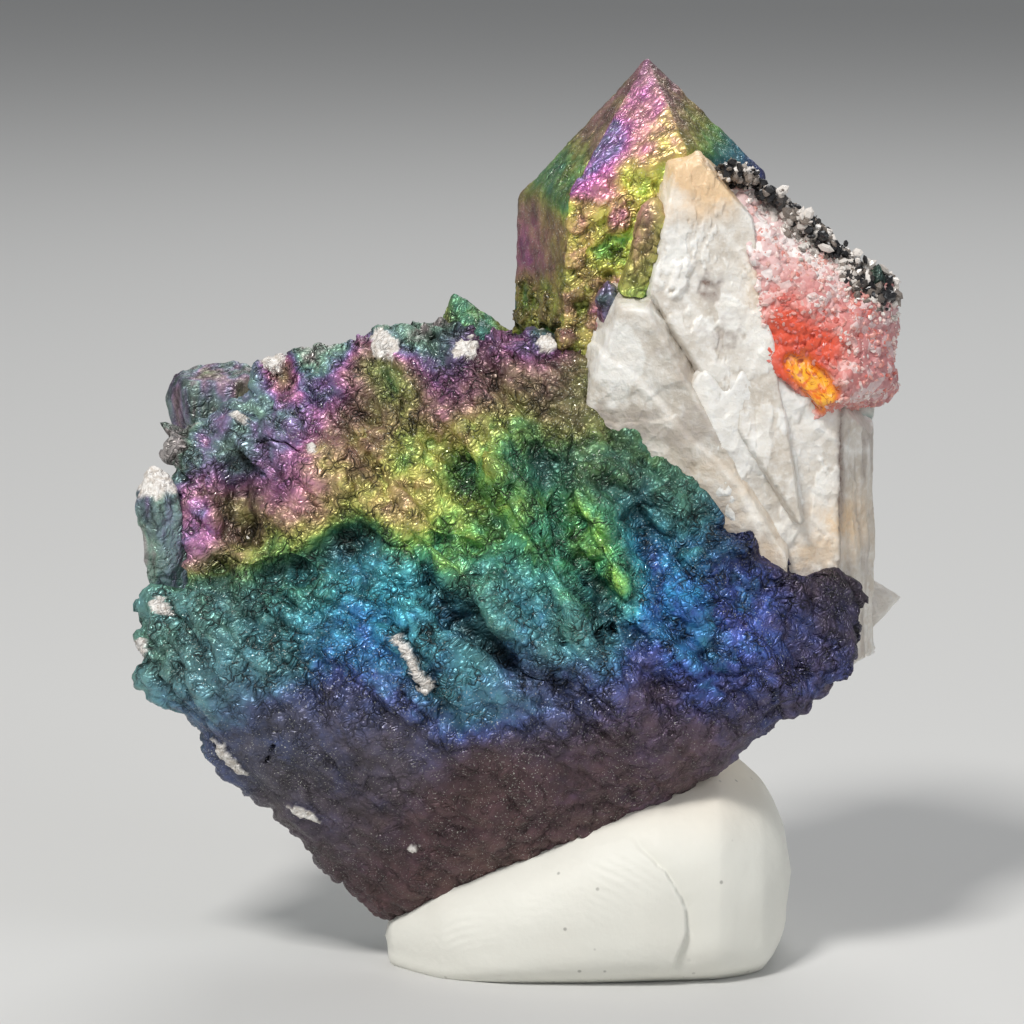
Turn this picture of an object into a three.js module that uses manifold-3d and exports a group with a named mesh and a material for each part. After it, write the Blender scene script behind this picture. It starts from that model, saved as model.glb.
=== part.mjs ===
// A cluster of iron-filmed quartz standing in a lump of mounting putty.
// Millimetres, +Z up, the front looks along -Y, and the putty's flat foot lies on Z = 0.
import * as THREE from 'three';
import { ConvexGeometry } from 'three/addons/geometries/ConvexGeometry.js';
import { mergeVertices } from 'three/addons/utils/BufferGeometryUtils.js';
import Module from 'manifold-3d';

const wasm = await Module();
wasm.setup();

// Crust: a curved plate whose front bends over a level keel and leans back above and below it.
const CRUST_CENTRE = { x: -1, z: 19 };
const KEEL_Z = 16.8; // height of the keel
const KEEL_Y = -9; // how far forward the keel stands
const KEEL_ROUND = 3; // how softly the front bends over the keel
const LEAN_BACK = 0.5; // run back per rise above the keel
const UNDERCUT = 0.45; // run back per drop below the keel
const FRONT_BOW = 0.0125; // how the front curves back to both sides
const EDGE_DEPTH = 1.7; // from the front face back to the rim
const EDGE_POWER = 12; // how late the front rolls over into the rim
const BACK_DEPTH = 5; // from the rim back to the rear of the plate
const CRUST_SECTORS = 72;
const CRUST_FRONT_RINGS = 19;
const CRUST_BACK_RINGS = 5;
const RING_CROWDING = 1.25; // rings lie closer together towards the rim

// The crust's outline seen from the front, as [x, z], clockwise from its lowest point.
const CRUST_OUTLINE = [
  [-7.5, 2.1], [-9.8, 4.3], [-11.9, 6.4], [-13.3, 8.1], [-14.8, 9.3], [-16.5, 10.8], [-17.6, 12.7],
  [-18.9, 14.2], [-20.6, 14.8], [-21.4, 16.1], [-21.1, 19.2], [-20.4, 20.5], [-18.7, 21.2], [-18.9, 23.6],
  [-19.1, 26.1], [-19.7, 28.2], [-19.6, 29.4], [-18.3, 30.1], [-16.8, 30.9], [-15.1, 31.4], [-14.0, 33.2],
  [-12.9, 34.2], [-11.5, 34.4], [-10.4, 33.8], [-9.6, 33.8], [-8.7, 34.5], [-8.0, 35.4], [-6.6, 35.7],
  [-4.7, 35.6], [-0.7, 35.2], [2.1, 35.0], [4.1, 34.5], [3.9, 32.5], [5.6, 31.5], [6.6, 30.2],
  [7.1, 28.6], [9.7, 27.1], [11.9, 25.9], [13.9, 24.3], [15.5, 22.3], [17.7, 22.1], [18.7, 20.7],
  [18.4, 18.0], [17.0, 15.8], [13.7, 13.4], [9.8, 11.3], [6.5, 8.9], [2.1, 5.8], [-2.9, 3.5],
];

// Folds of the crust: a line of [x, z] points, half width, and height (negative is a valley).
const FOLDS = [
  { line: [[-17.0, 22.1], [-15.1, 20.7], [-12.5, 19.0]], width: 1.3, height: -0.8 },
  { line: [[-18.1, 20.7], [-14.6, 17.7]], width: 1.2, height: 0.6 },
  { line: [[-13.5, 22.5], [-10.3, 23.6], [-8.2, 24.7], [-6.0, 24.1], [-4.4, 22.1], [-2.3, 19.6], [2.0, 17.0]],
    width: 0.9, height: -1.2 },
  { line: [[-7.4, 23.4], [-5.8, 19.9]], width: 1.1, height: 0.7 },
  { line: [[-7.3, 27.2], [-3.9, 23.4], [1.2, 18.5]], width: 1.3, height: 1.1 },
  { line: [[-4.4, 29.1], [-2.3, 25.3]], width: 1.0, height: -0.8 },
  { line: [[-1.2, 29.1], [2.0, 22.6], [5.5, 17.4]], width: 1.4, height: 1.1 },
  { line: [[0.1, 29.1], [3.1, 24.2], [5.0, 19.9]], width: 0.9, height: -0.9 },
  { line: [[3.3, 27.5], [5.2, 22.6]], width: 1.0, height: 0.7 },
  { line: [[6.3, 25.3], [7.4, 22.1]], width: 0.8, height: -0.7 },
  { line: [[6.8, 29.7], [9.0, 25.9]], width: 1.0, height: 0.6 },
  { line: [[9.8, 23.6], [12.4, 24.1]], width: 0.6, height: 0.9 },
  { line: [[-15.6, 27.3], [-15.3, 24.6]], width: 1.1, height: -1.6 },
  { line: [[-12.9, 29.6], [-11.6, 28.2]], width: 1.2, height: 0.8 },
];

// Broken lumps are cut by flat facets: a point that each facet passes through, and the way it faces.
const BLOCK_CENTRE = [12.8, 4.0, 25.0];
const BLOCK_FACETS = [
  { through: [13.4, -1.6, 25.0], facing: [0.27, -0.96, 0.03] },
  { through: [10.8, -2.1, 28.0], facing: [-0.42, -0.9, -0.1] },
  { through: [17.4, -0.4, 26.0], facing: [0.85, -0.52, 0.0] },
  { through: [19.4, 3.0, 25.0], facing: [1.0, 0.0, 0.02] },
  { through: [19.3, 5.5, 26.0], facing: [0.86, 0.5, 0.05] },
  { through: [18.1, 1.0, 30.4], facing: [0.8, -0.15, 0.58] },
  { through: [14.0, 0.0, 34.0], facing: [0.1, -0.2, 0.97] },
  { through: [12.0, 8.5, 33.0], facing: [0.1, 0.7, 0.7] },
  { through: [11.0, 10.5, 28.0], facing: [0.05, 1.0, 0.1] },
  { through: [5.5, 5.0, 28.0], facing: [-0.95, 0.2, 0.0] },
  { through: [18.6, 1.0, 16.8], facing: [0.5, -0.2, -0.84] },
  { through: [12.0, 2.0, 13.5], facing: [0.1, 0.1, -1.0] },
];
const SPIRE_CENTRE = [10.6, 2.6, 36.0];
const SPIRE_FACETS = [
  { through: [11.0, -1.7, 34.0], facing: [0.12, -0.985, 0.12] },
  { through: [7.5, -1.0, 40.4], facing: [-0.92, -0.32, 0.22] },
  { through: [9.6, -1.7, 33.6], facing: [-0.8, -0.3, -0.5] },
  { through: [8.9, -0.3, 44.6], facing: [-0.2, -0.2, 0.96] },
  { through: [11.5, 0.0, 42.7], facing: [0.74, -0.1, 0.66] },
  { through: [13.3, 0.0, 37.4], facing: [0.97, -0.15, 0.18] },
  { through: [10.8, 8.4, 36.0], facing: [0.05, 0.98, 0.2] },
  { through: [10.5, 2.0, 25.0], facing: [0.0, 0.0, -1.0] },
];
const SLAB_CENTRE = [8.2, 1.6, 30.5];
const SLAB_FACETS = [
  { through: [7.5, -2.1, 33.0], facing: [-0.22, -0.96, -0.12] },
  { through: [4.3, -1.0, 34.9], facing: [-0.93, -0.3, 0.25] },
  { through: [5.9, -1.0, 37.2], facing: [-0.05, -0.3, 0.95] },
  { through: [10.8, -1.5, 30.2], facing: [0.8, -0.35, 0.45] },
  { through: [14.5, 2.0, 26.0], facing: [1.0, 0.0, 0.0] },
  { through: [8.0, 6.5, 30.0], facing: [0.0, 1.0, 0.2] },
  { through: [8.0, 0.0, 22.0], facing: [0.0, 0.0, -1.0] },
];
const STAINED_CENTRE = [16.4, 2.6, 36.4];
const STAINED_FACETS = [
  { through: [16.0, -1.3, 36.0], facing: [0.1, -1.0, 0.12] },
  { through: [16.3, -1.0, 38.0], facing: [0.35, -0.75, 0.66] },
  { through: [19.2, -0.3, 35.5], facing: [0.72, -0.68, 0.05] },
  { through: [20.4, 2.6, 36.5], facing: [1.0, 0.05, 0.03] },
  { through: [19.0, 1.0, 31.6], facing: [0.45, -0.3, -0.84] },
  { through: [14.9, -0.6, 32.8], facing: [-0.55, -0.5, -0.6] },
  { through: [12.0, 0.5, 38.0], facing: [-0.95, -0.3, -0.1] },
  { through: [12.4, 0.5, 43.6], facing: [0.1, 0.27, 0.93] },
  { through: [16.6, 1.0, 40.6], facing: [0.66, 0.28, 0.74] },
  { through: [18.0, 8.0, 36.0], facing: [0.3, 0.95, 0.15] },
  { through: [16.6, 4.0, 31.5], facing: [0.0, 0.3, -0.95] },
];
const MATRIX_CENTRE = [-1.5, 4.5, 19.5];
const MATRIX_FACETS = [
  { through: [-1.0, -4.2, 17.0], facing: [0.0, -0.88, 0.475] },
  { through: [-1.0, -4.2, 17.0], facing: [0.0, -0.91, -0.41] },
  { through: [12.0, -3.2, 18.0], facing: [0.35, -0.93, 0.0] },
  { through: [-12.0, -3.2, 18.0], facing: [-0.35, -0.93, 0.0] },
  { through: [-2.0, 12.0, 20.0], facing: [0.0, 1.0, 0.05] },
  { through: [-10.0, 10.5, 24.0], facing: [-0.45, 0.85, 0.3] },
  { through: [8.0, 10.8, 16.0], facing: [0.4, 0.88, -0.25] },
  { through: [-6.0, 9.0, 10.0], facing: [-0.15, 0.7, -0.7] },
  { through: [2.0, 10.5, 29.0], facing: [0.1, 0.8, 0.6] },
  { through: [-17.0, 4.0, 20.0], facing: [-0.97, -0.1, 0.1] },
  { through: [-15.3, 3.0, 11.5], facing: [-0.75, 0.1, -0.66] },
  { through: [-5.0, 5.0, 34.0], facing: [-0.05, 0.1, 1.0] },
  { through: [-14.0, 4.0, 31.0], facing: [-0.6, 0.0, 0.8] },
  { through: [14.5, 4.0, 16.0], facing: [0.85, 0.2, -0.3] },
  { through: [-6.0, 3.0, 6.5], facing: [-0.55, -0.05, -0.83] },
  { through: [4.0, 3.0, 9.5], facing: [0.45, 0.0, -0.9] },
];

// Crystals: six-sided prisms with a six-sided point. twist turns the prism about its axis, in degrees,
// radii reach from the axis to the six corners, and lifts raise the six shoulder corners.
const evenCorners = (value) => Array(6).fill(value);
const CRYSTALS = [
  { foot: [5.4, 6.2, 24], shoulder: [6.2, 6.2, 43.3], tips: [[6.9, 5.6, 49.8]],
    radii: [6.4, 7.4, 6.4, 6.4, 6.4, 6.4], twist: 25, lifts: [2.2, 0.4, 0.2, -0.6, -1.6, -0.8] },
  { foot: [6.0, -0.5, 37.4], shoulder: [7.2, -0.7, 42.0], tips: [[7.4, -0.7, 43.0]],
    radii: evenCorners(0.9), twist: 10, lifts: evenCorners(0) },
  { foot: [-2.4, 3.6, 31], shoulder: [-2.6, 3.5, 34.9], tips: [[-3.8, 3.4, 37.0]],
    radii: evenCorners(2.1), twist: 12, lifts: [0.2, 0, -0.2, 0, 0.1, 0] },
  { foot: [13.5, 6.6, 18.4], shoulder: [19.6, 7.0, 18.8], tips: [[21.6, 7.1, 19.1]],
    radii: evenCorners(1.6), twist: 20, lifts: [0.2, 0, 0, 0.3, 0, 0] },
  { foot: [-18.9, 1.4, 19.0], shoulder: [-19.9, 0.6, 26.2], tips: [[-20.9, 0.4, 26.9], [-20.2, 0.5, 27.8]],
    radii: evenCorners(1.4), twist: 0, lifts: evenCorners(0) },
  { foot: [-14.5, 6.5, 20], shoulder: [-17.3, 8.2, 31.2], tips: [[-18.4, 8.4, 31.9], [-16.4, 8.4, 31.8]],
    radii: evenCorners(3.0), twist: 28, lifts: evenCorners(0) },
];

// Dark sugary grains along the top right shoulder.
const DRUSE_PATH = [[12.1, 1.2, 44.2], [13.6, 1.0, 43.1], [15.4, 1.0, 41.5], [17.4, 1.2, 39.9], [19.7, 1.6, 37.6]];
const DRUSE_ROWS = [0.0, 1.7, 3.4, 5.0]; // how far each row lies behind the path
const DRUSE_DROP = 0.36; // how much the rows fall per millimetre towards the back
const DRUSE_STEP = 1.3;
const DRUSE_RADIUS = 0.85;
const DRUSE_VARY = 0.3; // share by which the grains' sizes differ
const DRUSE_SHIFT = { x: 0.35, z: 0.15 }; // how far a grain strays from its row
const DRUSE_STRETCH = { y: 0.8, z: 1.1 };
const DRUSE_TURN = { x: 1.7, z: 2.3 }; // turn from one grain to the next, in radians
const WOBBLE_STEP = 12.9; // phase from one grain to the next, so that neighbours differ
const WOBBLE_ROW = 4.1;

// Putty: a pressed lump, drawn out to a point on the left. One row per station along X;
// base is where a section's underside would lie, and what is under the ground is cut away.
const PUTTY_STATIONS = [
  { x: -7.7, y: -0.2, halfDepth: 0.0, base: 1.3, height: 1.3 },
  { x: -7.2, y: -0.3, halfDepth: 1.7, base: -0.2, height: 2.6 },
  { x: -4.5, y: 0.6, halfDepth: 5.4, base: -0.9, height: 4.7 },
  { x: -1.2, y: 1.4, halfDepth: 7.6, base: -1.0, height: 6.6 },
  { x: 3.7, y: 2.1, halfDepth: 9.1, base: -1.0, height: 9.4 },
  { x: 7.5, y: 2.4, halfDepth: 9.4, base: -1.0, height: 11.1 },
  { x: 10.8, y: 2.4, halfDepth: 8.8, base: -1.0, height: 11.2 },
  { x: 13.2, y: 2.3, halfDepth: 7.0, base: -0.6, height: 9.4 },
  { x: 14.5, y: 2.1, halfDepth: 4.2, base: 1.4, height: 7.2 },
  { x: 15.0, y: 2.0, halfDepth: 0.0, base: 4.4, height: 4.4 },
];
const PUTTY_WAIST = 0.42; // share of the height where the lump is widest
const PUTTY_SIDE_POWER = 0.75; // below 1 the section's sides are fuller than an ellipse's
const PUTTY_TOP_POWER = 0.9;
const PUTTY_FOOT_POWER = 0.55;
const PUTTY_TENSION = 0.3; // of the curve through the stations
const PUTTY_ROWS = 26;
const PUTTY_SECTORS = 28;
const FIT_GAP = 0.3; // clearance between the putty and the stone pressed into it
const FOOT_BOX = 80;
const MERGE_DISTANCE = 1e-5; // corners closer than this are one corner
const PARALLEL_LIMIT = 1e-4; // three facets whose directions span less than this share no corner
const CORNER_TOLERANCE = 1e-6;

// The middle of the object's box, so that the origin is at the centre of its bottom.
const ORIGIN = [0.13, 2.15, 0];

const smoothRamp = (u, round) => (u + Math.hypot(u, round)) / 2;

function lineDistance(x, z, line) {
  let nearest = Infinity;
  for (let i = 0; i < line.length - 1; i++) {
    const [ax, az] = line[i];
    const [bx, bz] = line[i + 1];
    const length2 = (bx - ax) ** 2 + (bz - az) ** 2;
    const t = THREE.MathUtils.clamp(((x - ax) * (bx - ax) + (z - az) * (bz - az)) / length2, 0, 1);
    nearest = Math.min(nearest, Math.hypot(x - ax - t * (bx - ax), z - az - t * (bz - az)));
  }
  return nearest;
}

function foldHeight(x, z) {
  let sum = 0;
  for (const { line, width, height } of FOLDS) {
    sum += height * Math.exp(-((lineDistance(x, z, line) / width) ** 2));
  }
  return sum;
}

// The crust's front face: y at a place seen from the front.
function crustFrontY(x, z) {
  const above = smoothRamp(z - KEEL_Z, KEEL_ROUND);
  const below = smoothRamp(KEEL_Z - z, KEEL_ROUND);
  const bow = FRONT_BOW * (x - CRUST_CENTRE.x) ** 2;
  return KEEL_Y + LEAN_BACK * above + UNDERCUT * below + bow - foldHeight(x, z);
}

// The outline's reach from the crust's centre in the direction of an angle.
const outlinePolar = CRUST_OUTLINE.map(([x, z]) => {
  const dx = x - CRUST_CENTRE.x;
  const dz = z - CRUST_CENTRE.z;
  return { angle: (Math.atan2(dz, dx) + 2 * Math.PI) % (2 * Math.PI), reach: Math.hypot(dx, dz) };
}).sort((a, b) => a.angle - b.angle);

function outlineReach(angle) {
  const turn = 2 * Math.PI;
  const count = outlinePolar.length;
  const next = outlinePolar.findIndex((p) => p.angle > angle);
  const b = next < 0 ? 0 : next;
  const a = (b + count - 1) % count;
  const start = outlinePolar[a].angle;
  const span = (outlinePolar[b].angle - start + turn) % turn;
  const t = ((angle - start + turn) % turn) / span;
  return THREE.MathUtils.lerp(outlinePolar[a].reach, outlinePolar[b].reach, t);
}

// A closed solid from rings of points between a first and a last pole.
function ringSolid(first, rings, last) {
  const positions = [...first];
  for (const ring of rings) {
    for (const point of ring) positions.push(...point);
  }
  positions.push(...last);
  const size = rings[0].length;
  const index = [];
  for (let i = 0; i < size; i++) {
    const j = (i + 1) % size;
    index.push(0, 1 + i, 1 + j);
    for (let r = 0; r < rings.length - 1; r++) {
      const a = 1 + r * size;
      const b = a + size;
      index.push(a + i, b + i, b + j, a + i, b + j, a + j);
    }
    const lastRing = 1 + (rings.length - 1) * size;
    index.push(lastRing + i, lastRing + size, lastRing + j);
  }
  const geometry = new THREE.BufferGeometry();
  geometry.setAttribute('position', new THREE.Float32BufferAttribute(positions, 3));
  geometry.setIndex(index);
  return geometry;
}

function signedVolume(vertices, triangles) {
  let sum = 0;
  const corner = [new THREE.Vector3(), new THREE.Vector3(), new THREE.Vector3()];
  for (let t = 0; t < triangles.length; t += 3) {
    corner.forEach((v, k) => v.fromArray(vertices, 3 * triangles[t + k]));
    sum += corner[0].dot(corner[1].clone().cross(corner[2])) / 6;
  }
  return sum;
}

// A closed geometry becomes a solid for joining and cutting, with its faces turned outwards.
function toSolid(geometry) {
  const bare = geometry.clone();
  bare.deleteAttribute('normal');
  bare.deleteAttribute('uv');
  const merged = mergeVertices(bare, MERGE_DISTANCE);
  const vertProperties = new Float32Array(merged.attributes.position.array);
  const triVerts = new Uint32Array(merged.index.array);
  if (signedVolume(vertProperties, triVerts) < 0) {
    for (let t = 0; t < triVerts.length; t += 3) [triVerts[t + 1], triVerts[t + 2]] = [triVerts[t + 2], triVerts[t + 1]];
  }
  return new wasm.Manifold(new wasm.Mesh({ numProp: 3, vertProperties, triVerts }));
}

function toGeometry(solid) {
  const mesh = solid.getMesh();
  const geometry = new THREE.BufferGeometry();
  geometry.setAttribute('position', new THREE.Float32BufferAttribute(mesh.vertProperties, 3));
  geometry.setIndex(new THREE.Uint32BufferAttribute(mesh.triVerts, 1));
  return geometry;
}

// The crust plate. grow moves its whole surface outwards, to cut a clear bed for it.
function crustGeometry(grow = 0) {
  const rings = [];
  const ringAt = (share, atBack) => {
    const ring = [];
    for (let i = 0; i < CRUST_SECTORS; i++) {
      const angle = (2 * Math.PI * i) / CRUST_SECTORS;
      const reach = share * (outlineReach(angle) + grow);
      const x = CRUST_CENTRE.x + reach * Math.cos(angle);
      const z = CRUST_CENTRE.z + reach * Math.sin(angle);
      const roll = Math.sqrt(Math.max(0, 1 - share ** EDGE_POWER));
      const depth = atBack ? EDGE_DEPTH + (BACK_DEPTH + grow) * Math.sqrt(1 - share ** 2)
        : EDGE_DEPTH - (EDGE_DEPTH + grow) * roll;
      ring.push([x, crustFrontY(x, z) + depth, z]);
    }
    return ring;
  };
  const crowded = (s) => 1 - (1 - s) ** RING_CROWDING;
  for (let r = 1; r <= CRUST_FRONT_RINGS; r++) rings.push(ringAt(crowded(r / CRUST_FRONT_RINGS), false));
  for (let r = CRUST_BACK_RINGS; r > 0; r--) rings.push(ringAt(crowded(r / (CRUST_BACK_RINGS + 1)), true));
  const middle = crustFrontY(CRUST_CENTRE.x, CRUST_CENTRE.z);
  const front = [CRUST_CENTRE.x, middle - grow, CRUST_CENTRE.z];
  const back = [CRUST_CENTRE.x, middle + EDGE_DEPTH + BACK_DEPTH + grow, CRUST_CENTRE.z];
  return ringSolid(front, rings, back);
}

// A lump bounded by flat facets: the hull of the corners where three facets meet.
function facetedGeometry(centre, facets, grow = 0) {
  const middle = new THREE.Vector3(...centre);
  const planes = facets.map(({ through, facing }) => {
    const normal = new THREE.Vector3(...facing).normalize();
    return { normal, reach: normal.dot(new THREE.Vector3(...through).sub(middle)) + grow };
  });
  const corners = [];
  for (let i = 0; i < planes.length; i++) {
    for (let j = i + 1; j < planes.length; j++) {
      for (let k = j + 1; k < planes.length; k++) {
        const [a, b, c] = [planes[i], planes[j], planes[k]];
        const bc = b.normal.clone().cross(c.normal);
        const spread = a.normal.dot(bc);
        if (Math.abs(spread) < PARALLEL_LIMIT) continue;
        const corner = bc.multiplyScalar(a.reach)
          .add(c.normal.clone().cross(a.normal).multiplyScalar(b.reach))
          .add(a.normal.clone().cross(b.normal).multiplyScalar(c.reach))
          .divideScalar(spread);
        if (planes.every((p) => p.normal.dot(corner) <= p.reach + CORNER_TOLERANCE)) corners.push(corner.add(middle));
      }
    }
  }
  return new ConvexGeometry(corners);
}

// A six-sided crystal: the hull of its foot, its shoulders and its tips.
function crystalGeometry({ foot, shoulder, tips, radii, twist, lifts }) {
  const start = new THREE.Vector3(...foot);
  const end = new THREE.Vector3(...shoulder);
  const axis = end.clone().sub(start).normalize();
  const side = new THREE.Vector3(0, -1, 0).addScaledVector(axis, axis.y).normalize();
  const points = tips.map((tip) => new THREE.Vector3(...tip));
  lifts.forEach((lift, i) => {
    const turn = THREE.MathUtils.degToRad(twist + 60 * i);
    const reach = side.clone().applyAxisAngle(axis, turn).multiplyScalar(radii[i]);
    points.push(start.clone().add(reach));
    points.push(end.clone().add(reach).addScaledVector(axis, lift));
  });
  return new ConvexGeometry(points);
}

function druseSolids() {
  const path = new THREE.CatmullRomCurve3(DRUSE_PATH.map((p) => new THREE.Vector3(...p)));
  const count = Math.floor(path.getLength() / DRUSE_STEP);
  const grains = [];
  DRUSE_ROWS.forEach((rowDepth, row) => {
    for (let i = 0; i <= count; i++) {
      const place = path.getPointAt(i / count);
      const wobble = Math.sin(WOBBLE_STEP * i + WOBBLE_ROW * row);
      const grain = new THREE.DodecahedronGeometry(DRUSE_RADIUS * (1 + DRUSE_VARY * wobble), 0);
      grain.scale(1, DRUSE_STRETCH.y, DRUSE_STRETCH.z);
      grain.rotateX(DRUSE_TURN.x * i + row);
      grain.rotateZ(DRUSE_TURN.z * i);
      const drop = DRUSE_DROP * rowDepth + DRUSE_SHIFT.z * wobble;
      grain.translate(place.x + DRUSE_SHIFT.x * wobble, place.y + rowDepth, place.z - drop);
      grains.push(toSolid(grain));
    }
  });
  return grains;
}

const stationCurve = (key) => new THREE.CatmullRomCurve3(
  PUTTY_STATIONS.map((s) => new THREE.Vector3(s.x, s[key], 0)), false, 'catmullrom', PUTTY_TENSION);

function puttyGeometry() {
  const keys = ['y', 'halfDepth', 'base', 'height'];
  const curves = Object.fromEntries(keys.map((key) => [key, stationCurve(key)]));
  const at = (key, t) => curves[key].getPoint(t);
  const rings = [];
  for (let r = 1; r < PUTTY_ROWS; r++) {
    const t = r / PUTTY_ROWS;
    const base = at('base', t).y;
    const rise = at('height', t).y - base;
    const ring = [];
    for (let i = 0; i < PUTTY_SECTORS; i++) {
      const turn = (2 * Math.PI * i) / PUTTY_SECTORS;
      const across = Math.sign(Math.cos(turn)) * Math.abs(Math.cos(turn)) ** PUTTY_SIDE_POWER;
      const up = Math.sin(turn);
      const level = up > 0 ? PUTTY_WAIST + (1 - PUTTY_WAIST) * up ** PUTTY_TOP_POWER
        : PUTTY_WAIST * (1 - (-up) ** PUTTY_FOOT_POWER);
      ring.push([at('y', t).x, at('y', t).y + at('halfDepth', t).y * across, base + rise * level]);
    }
    rings.push(ring);
  }
  const pole = (t) => [at('y', t).x, at('y', t).y, at('base', t).y];
  return ringSolid(pole(0), rings, pole(1));
}

function joined(solids) {
  return solids.reduce((sum, next) => sum.add(next));
}

const crystals = CRYSTALS.map((c) => toSolid(crystalGeometry(c)));
const block = toSolid(facetedGeometry(BLOCK_CENTRE, BLOCK_FACETS));
const spire = toSolid(facetedGeometry(SPIRE_CENTRE, SPIRE_FACETS));
const slab = toSolid(facetedGeometry(SLAB_CENTRE, SLAB_FACETS));
const stained = toSolid(facetedGeometry(STAINED_CENTRE, STAINED_FACETS));
const matrix = toSolid(facetedGeometry(MATRIX_CENTRE, MATRIX_FACETS));
const stone = joined([toSolid(crustGeometry()), matrix, block, spire, slab, stained, ...crystals, ...druseSolids()]);

const grownStone = joined([
  toSolid(crustGeometry(FIT_GAP)),
  toSolid(facetedGeometry(MATRIX_CENTRE, MATRIX_FACETS, FIT_GAP)),
  toSolid(facetedGeometry(BLOCK_CENTRE, BLOCK_FACETS, FIT_GAP)),
]);
const aboveGround = toSolid(new THREE.BoxGeometry(FOOT_BOX, FOOT_BOX, FOOT_BOX).translate(0, 0, FOOT_BOX / 2));
const putty = toSolid(puttyGeometry()).subtract(grownStone).intersect(aboveGround);

const quartzMaterial = new THREE.MeshStandardMaterial({ color: 0x4c5a5e, roughness: 0.42, metalness: 0.35 });
const puttyMaterial = new THREE.MeshStandardMaterial({ color: 0xe8eae0, roughness: 0.62, metalness: 0 });

function node(name, solid, material) {
  const mesh = new THREE.Mesh(toGeometry(solid), material);
  mesh.name = name;
  return mesh;
}

const specimen = new THREE.Group();
specimen.add(node('quartz_cluster', stone, quartzMaterial));
specimen.add(node('putty_lump', putty, puttyMaterial));
specimen.position.set(-ORIGIN[0], -ORIGIN[1], -ORIGIN[2]);

export default specimen;
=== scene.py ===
import math

import bpy
import numpy as np
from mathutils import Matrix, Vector


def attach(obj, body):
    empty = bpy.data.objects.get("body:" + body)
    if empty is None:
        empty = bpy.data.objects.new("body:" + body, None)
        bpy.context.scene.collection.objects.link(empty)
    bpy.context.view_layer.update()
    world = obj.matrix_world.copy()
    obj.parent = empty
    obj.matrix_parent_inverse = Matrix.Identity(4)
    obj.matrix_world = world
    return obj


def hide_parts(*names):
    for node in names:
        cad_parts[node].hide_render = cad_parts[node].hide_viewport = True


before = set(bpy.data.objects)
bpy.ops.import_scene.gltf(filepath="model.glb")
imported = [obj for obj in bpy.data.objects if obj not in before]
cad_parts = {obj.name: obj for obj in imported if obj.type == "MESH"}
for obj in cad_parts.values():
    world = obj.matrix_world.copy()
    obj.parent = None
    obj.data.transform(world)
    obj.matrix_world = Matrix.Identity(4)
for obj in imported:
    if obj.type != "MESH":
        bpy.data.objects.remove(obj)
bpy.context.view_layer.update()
print("frame loaded:", sorted(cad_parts))

# All shapes are worked out in millimetres and put into the meshes in metres.
mm = 0.001
originPlace = np.array([0.13, 2.15, 0.0])  # the middle of the object's box, which is the frame's origin


def hashed(ix, iy, iz, seed):
    # one repeatable number from 0 to 1 for each corner of a lattice
    h = (ix * 374761393 + iy * 668265263 + iz * 1442695041 + seed * 974634777) & 0xFFFFFFFF
    h = ((h ^ (h >> 13)) * 1274126177) & 0xFFFFFFFF
    h = ((h ^ (h >> 15)) * 2246822519) & 0xFFFFFFFF
    return ((h ^ (h >> 16)) & 0xFFFFFF) / float(0xFFFFFF)


def softNoise(points, size, seed):
    # lattice noise from -1 to 1: the eight corner numbers of a cube, blended with smooth weights
    q = points / size
    cell = np.floor(q).astype(np.int64)
    f = q - cell
    f = f * f * (3 - 2 * f)
    total = np.zeros(len(points))
    for dx in (0, 1):
        for dy in (0, 1):
            for dz in (0, 1):
                weight = np.abs(1 - dx - f[:, 0]) * np.abs(1 - dy - f[:, 1]) * np.abs(1 - dz - f[:, 2])
                total += weight * hashed(cell[:, 0] + dx, cell[:, 1] + dy, cell[:, 2] + dz, seed)
    return 2 * total - 1


def layeredNoise(points, size, seed, layers=3, fall=0.5):
    # noise at a size, plus weaker noise at half that size, and so on
    total = np.zeros(len(points))
    for k in range(layers):
        total += fall**k * softNoise(points, size / 2**k, seed + 17 * k)
    return total


def creasedNoise(points, size, seed, layers, fall=0.55, sharpness=0.7):
    # rounded lumps between sharp creases: noise with its valleys folded up, in ever finer layers
    total = np.zeros(len(points))
    for k in range(layers):
        total += fall**k * np.abs(softNoise(points, size / 2**k, seed + 17 * k)) ** sharpness
    return total


def cellPattern(points, size, seed):
    # nearest and second nearest of scattered seeds, in cell sizes, and a number for the nearest seed
    q = points / size
    cell = np.floor(q).astype(np.int64)
    first = np.full(len(points), 9.0)
    second = np.full(len(points), 9.0)
    tone = np.zeros(len(points))
    for dx in (-1, 0, 1):
        for dy in (-1, 0, 1):
            for dz in (-1, 0, 1):
                c = cell + np.array([dx, dy, dz])
                jitter = np.stack([hashed(c[:, 0], c[:, 1], c[:, 2], seed + k) for k in range(3)], 1)
                d = np.linalg.norm(c + jitter - q, axis=1)
                nearer = d < first
                second = np.where(nearer, first, np.minimum(second, d))
                tone = np.where(nearer, jitter[:, 0], tone)
                first = np.where(nearer, d, first)
    return first, second, tone


def facetWaves(points, size, seed, count=4):
    # flat facets that meet in straight ridges: the mean of zigzags along several fixed random directions
    rng = np.random.default_rng(seed)
    total = np.zeros(len(points))
    for k in range(count):
        direction = rng.normal(0, 1, 3)
        gap = size * (0.7 + 0.8 * rng.random())
        phase = points @ (direction / np.linalg.norm(direction)) / gap
        phase += 0.6 * softNoise(points, 3 * size, seed + k)
        total += 2 * np.abs(phase - np.floor(phase) - 0.5)
    return total / count - 0.5


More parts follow.
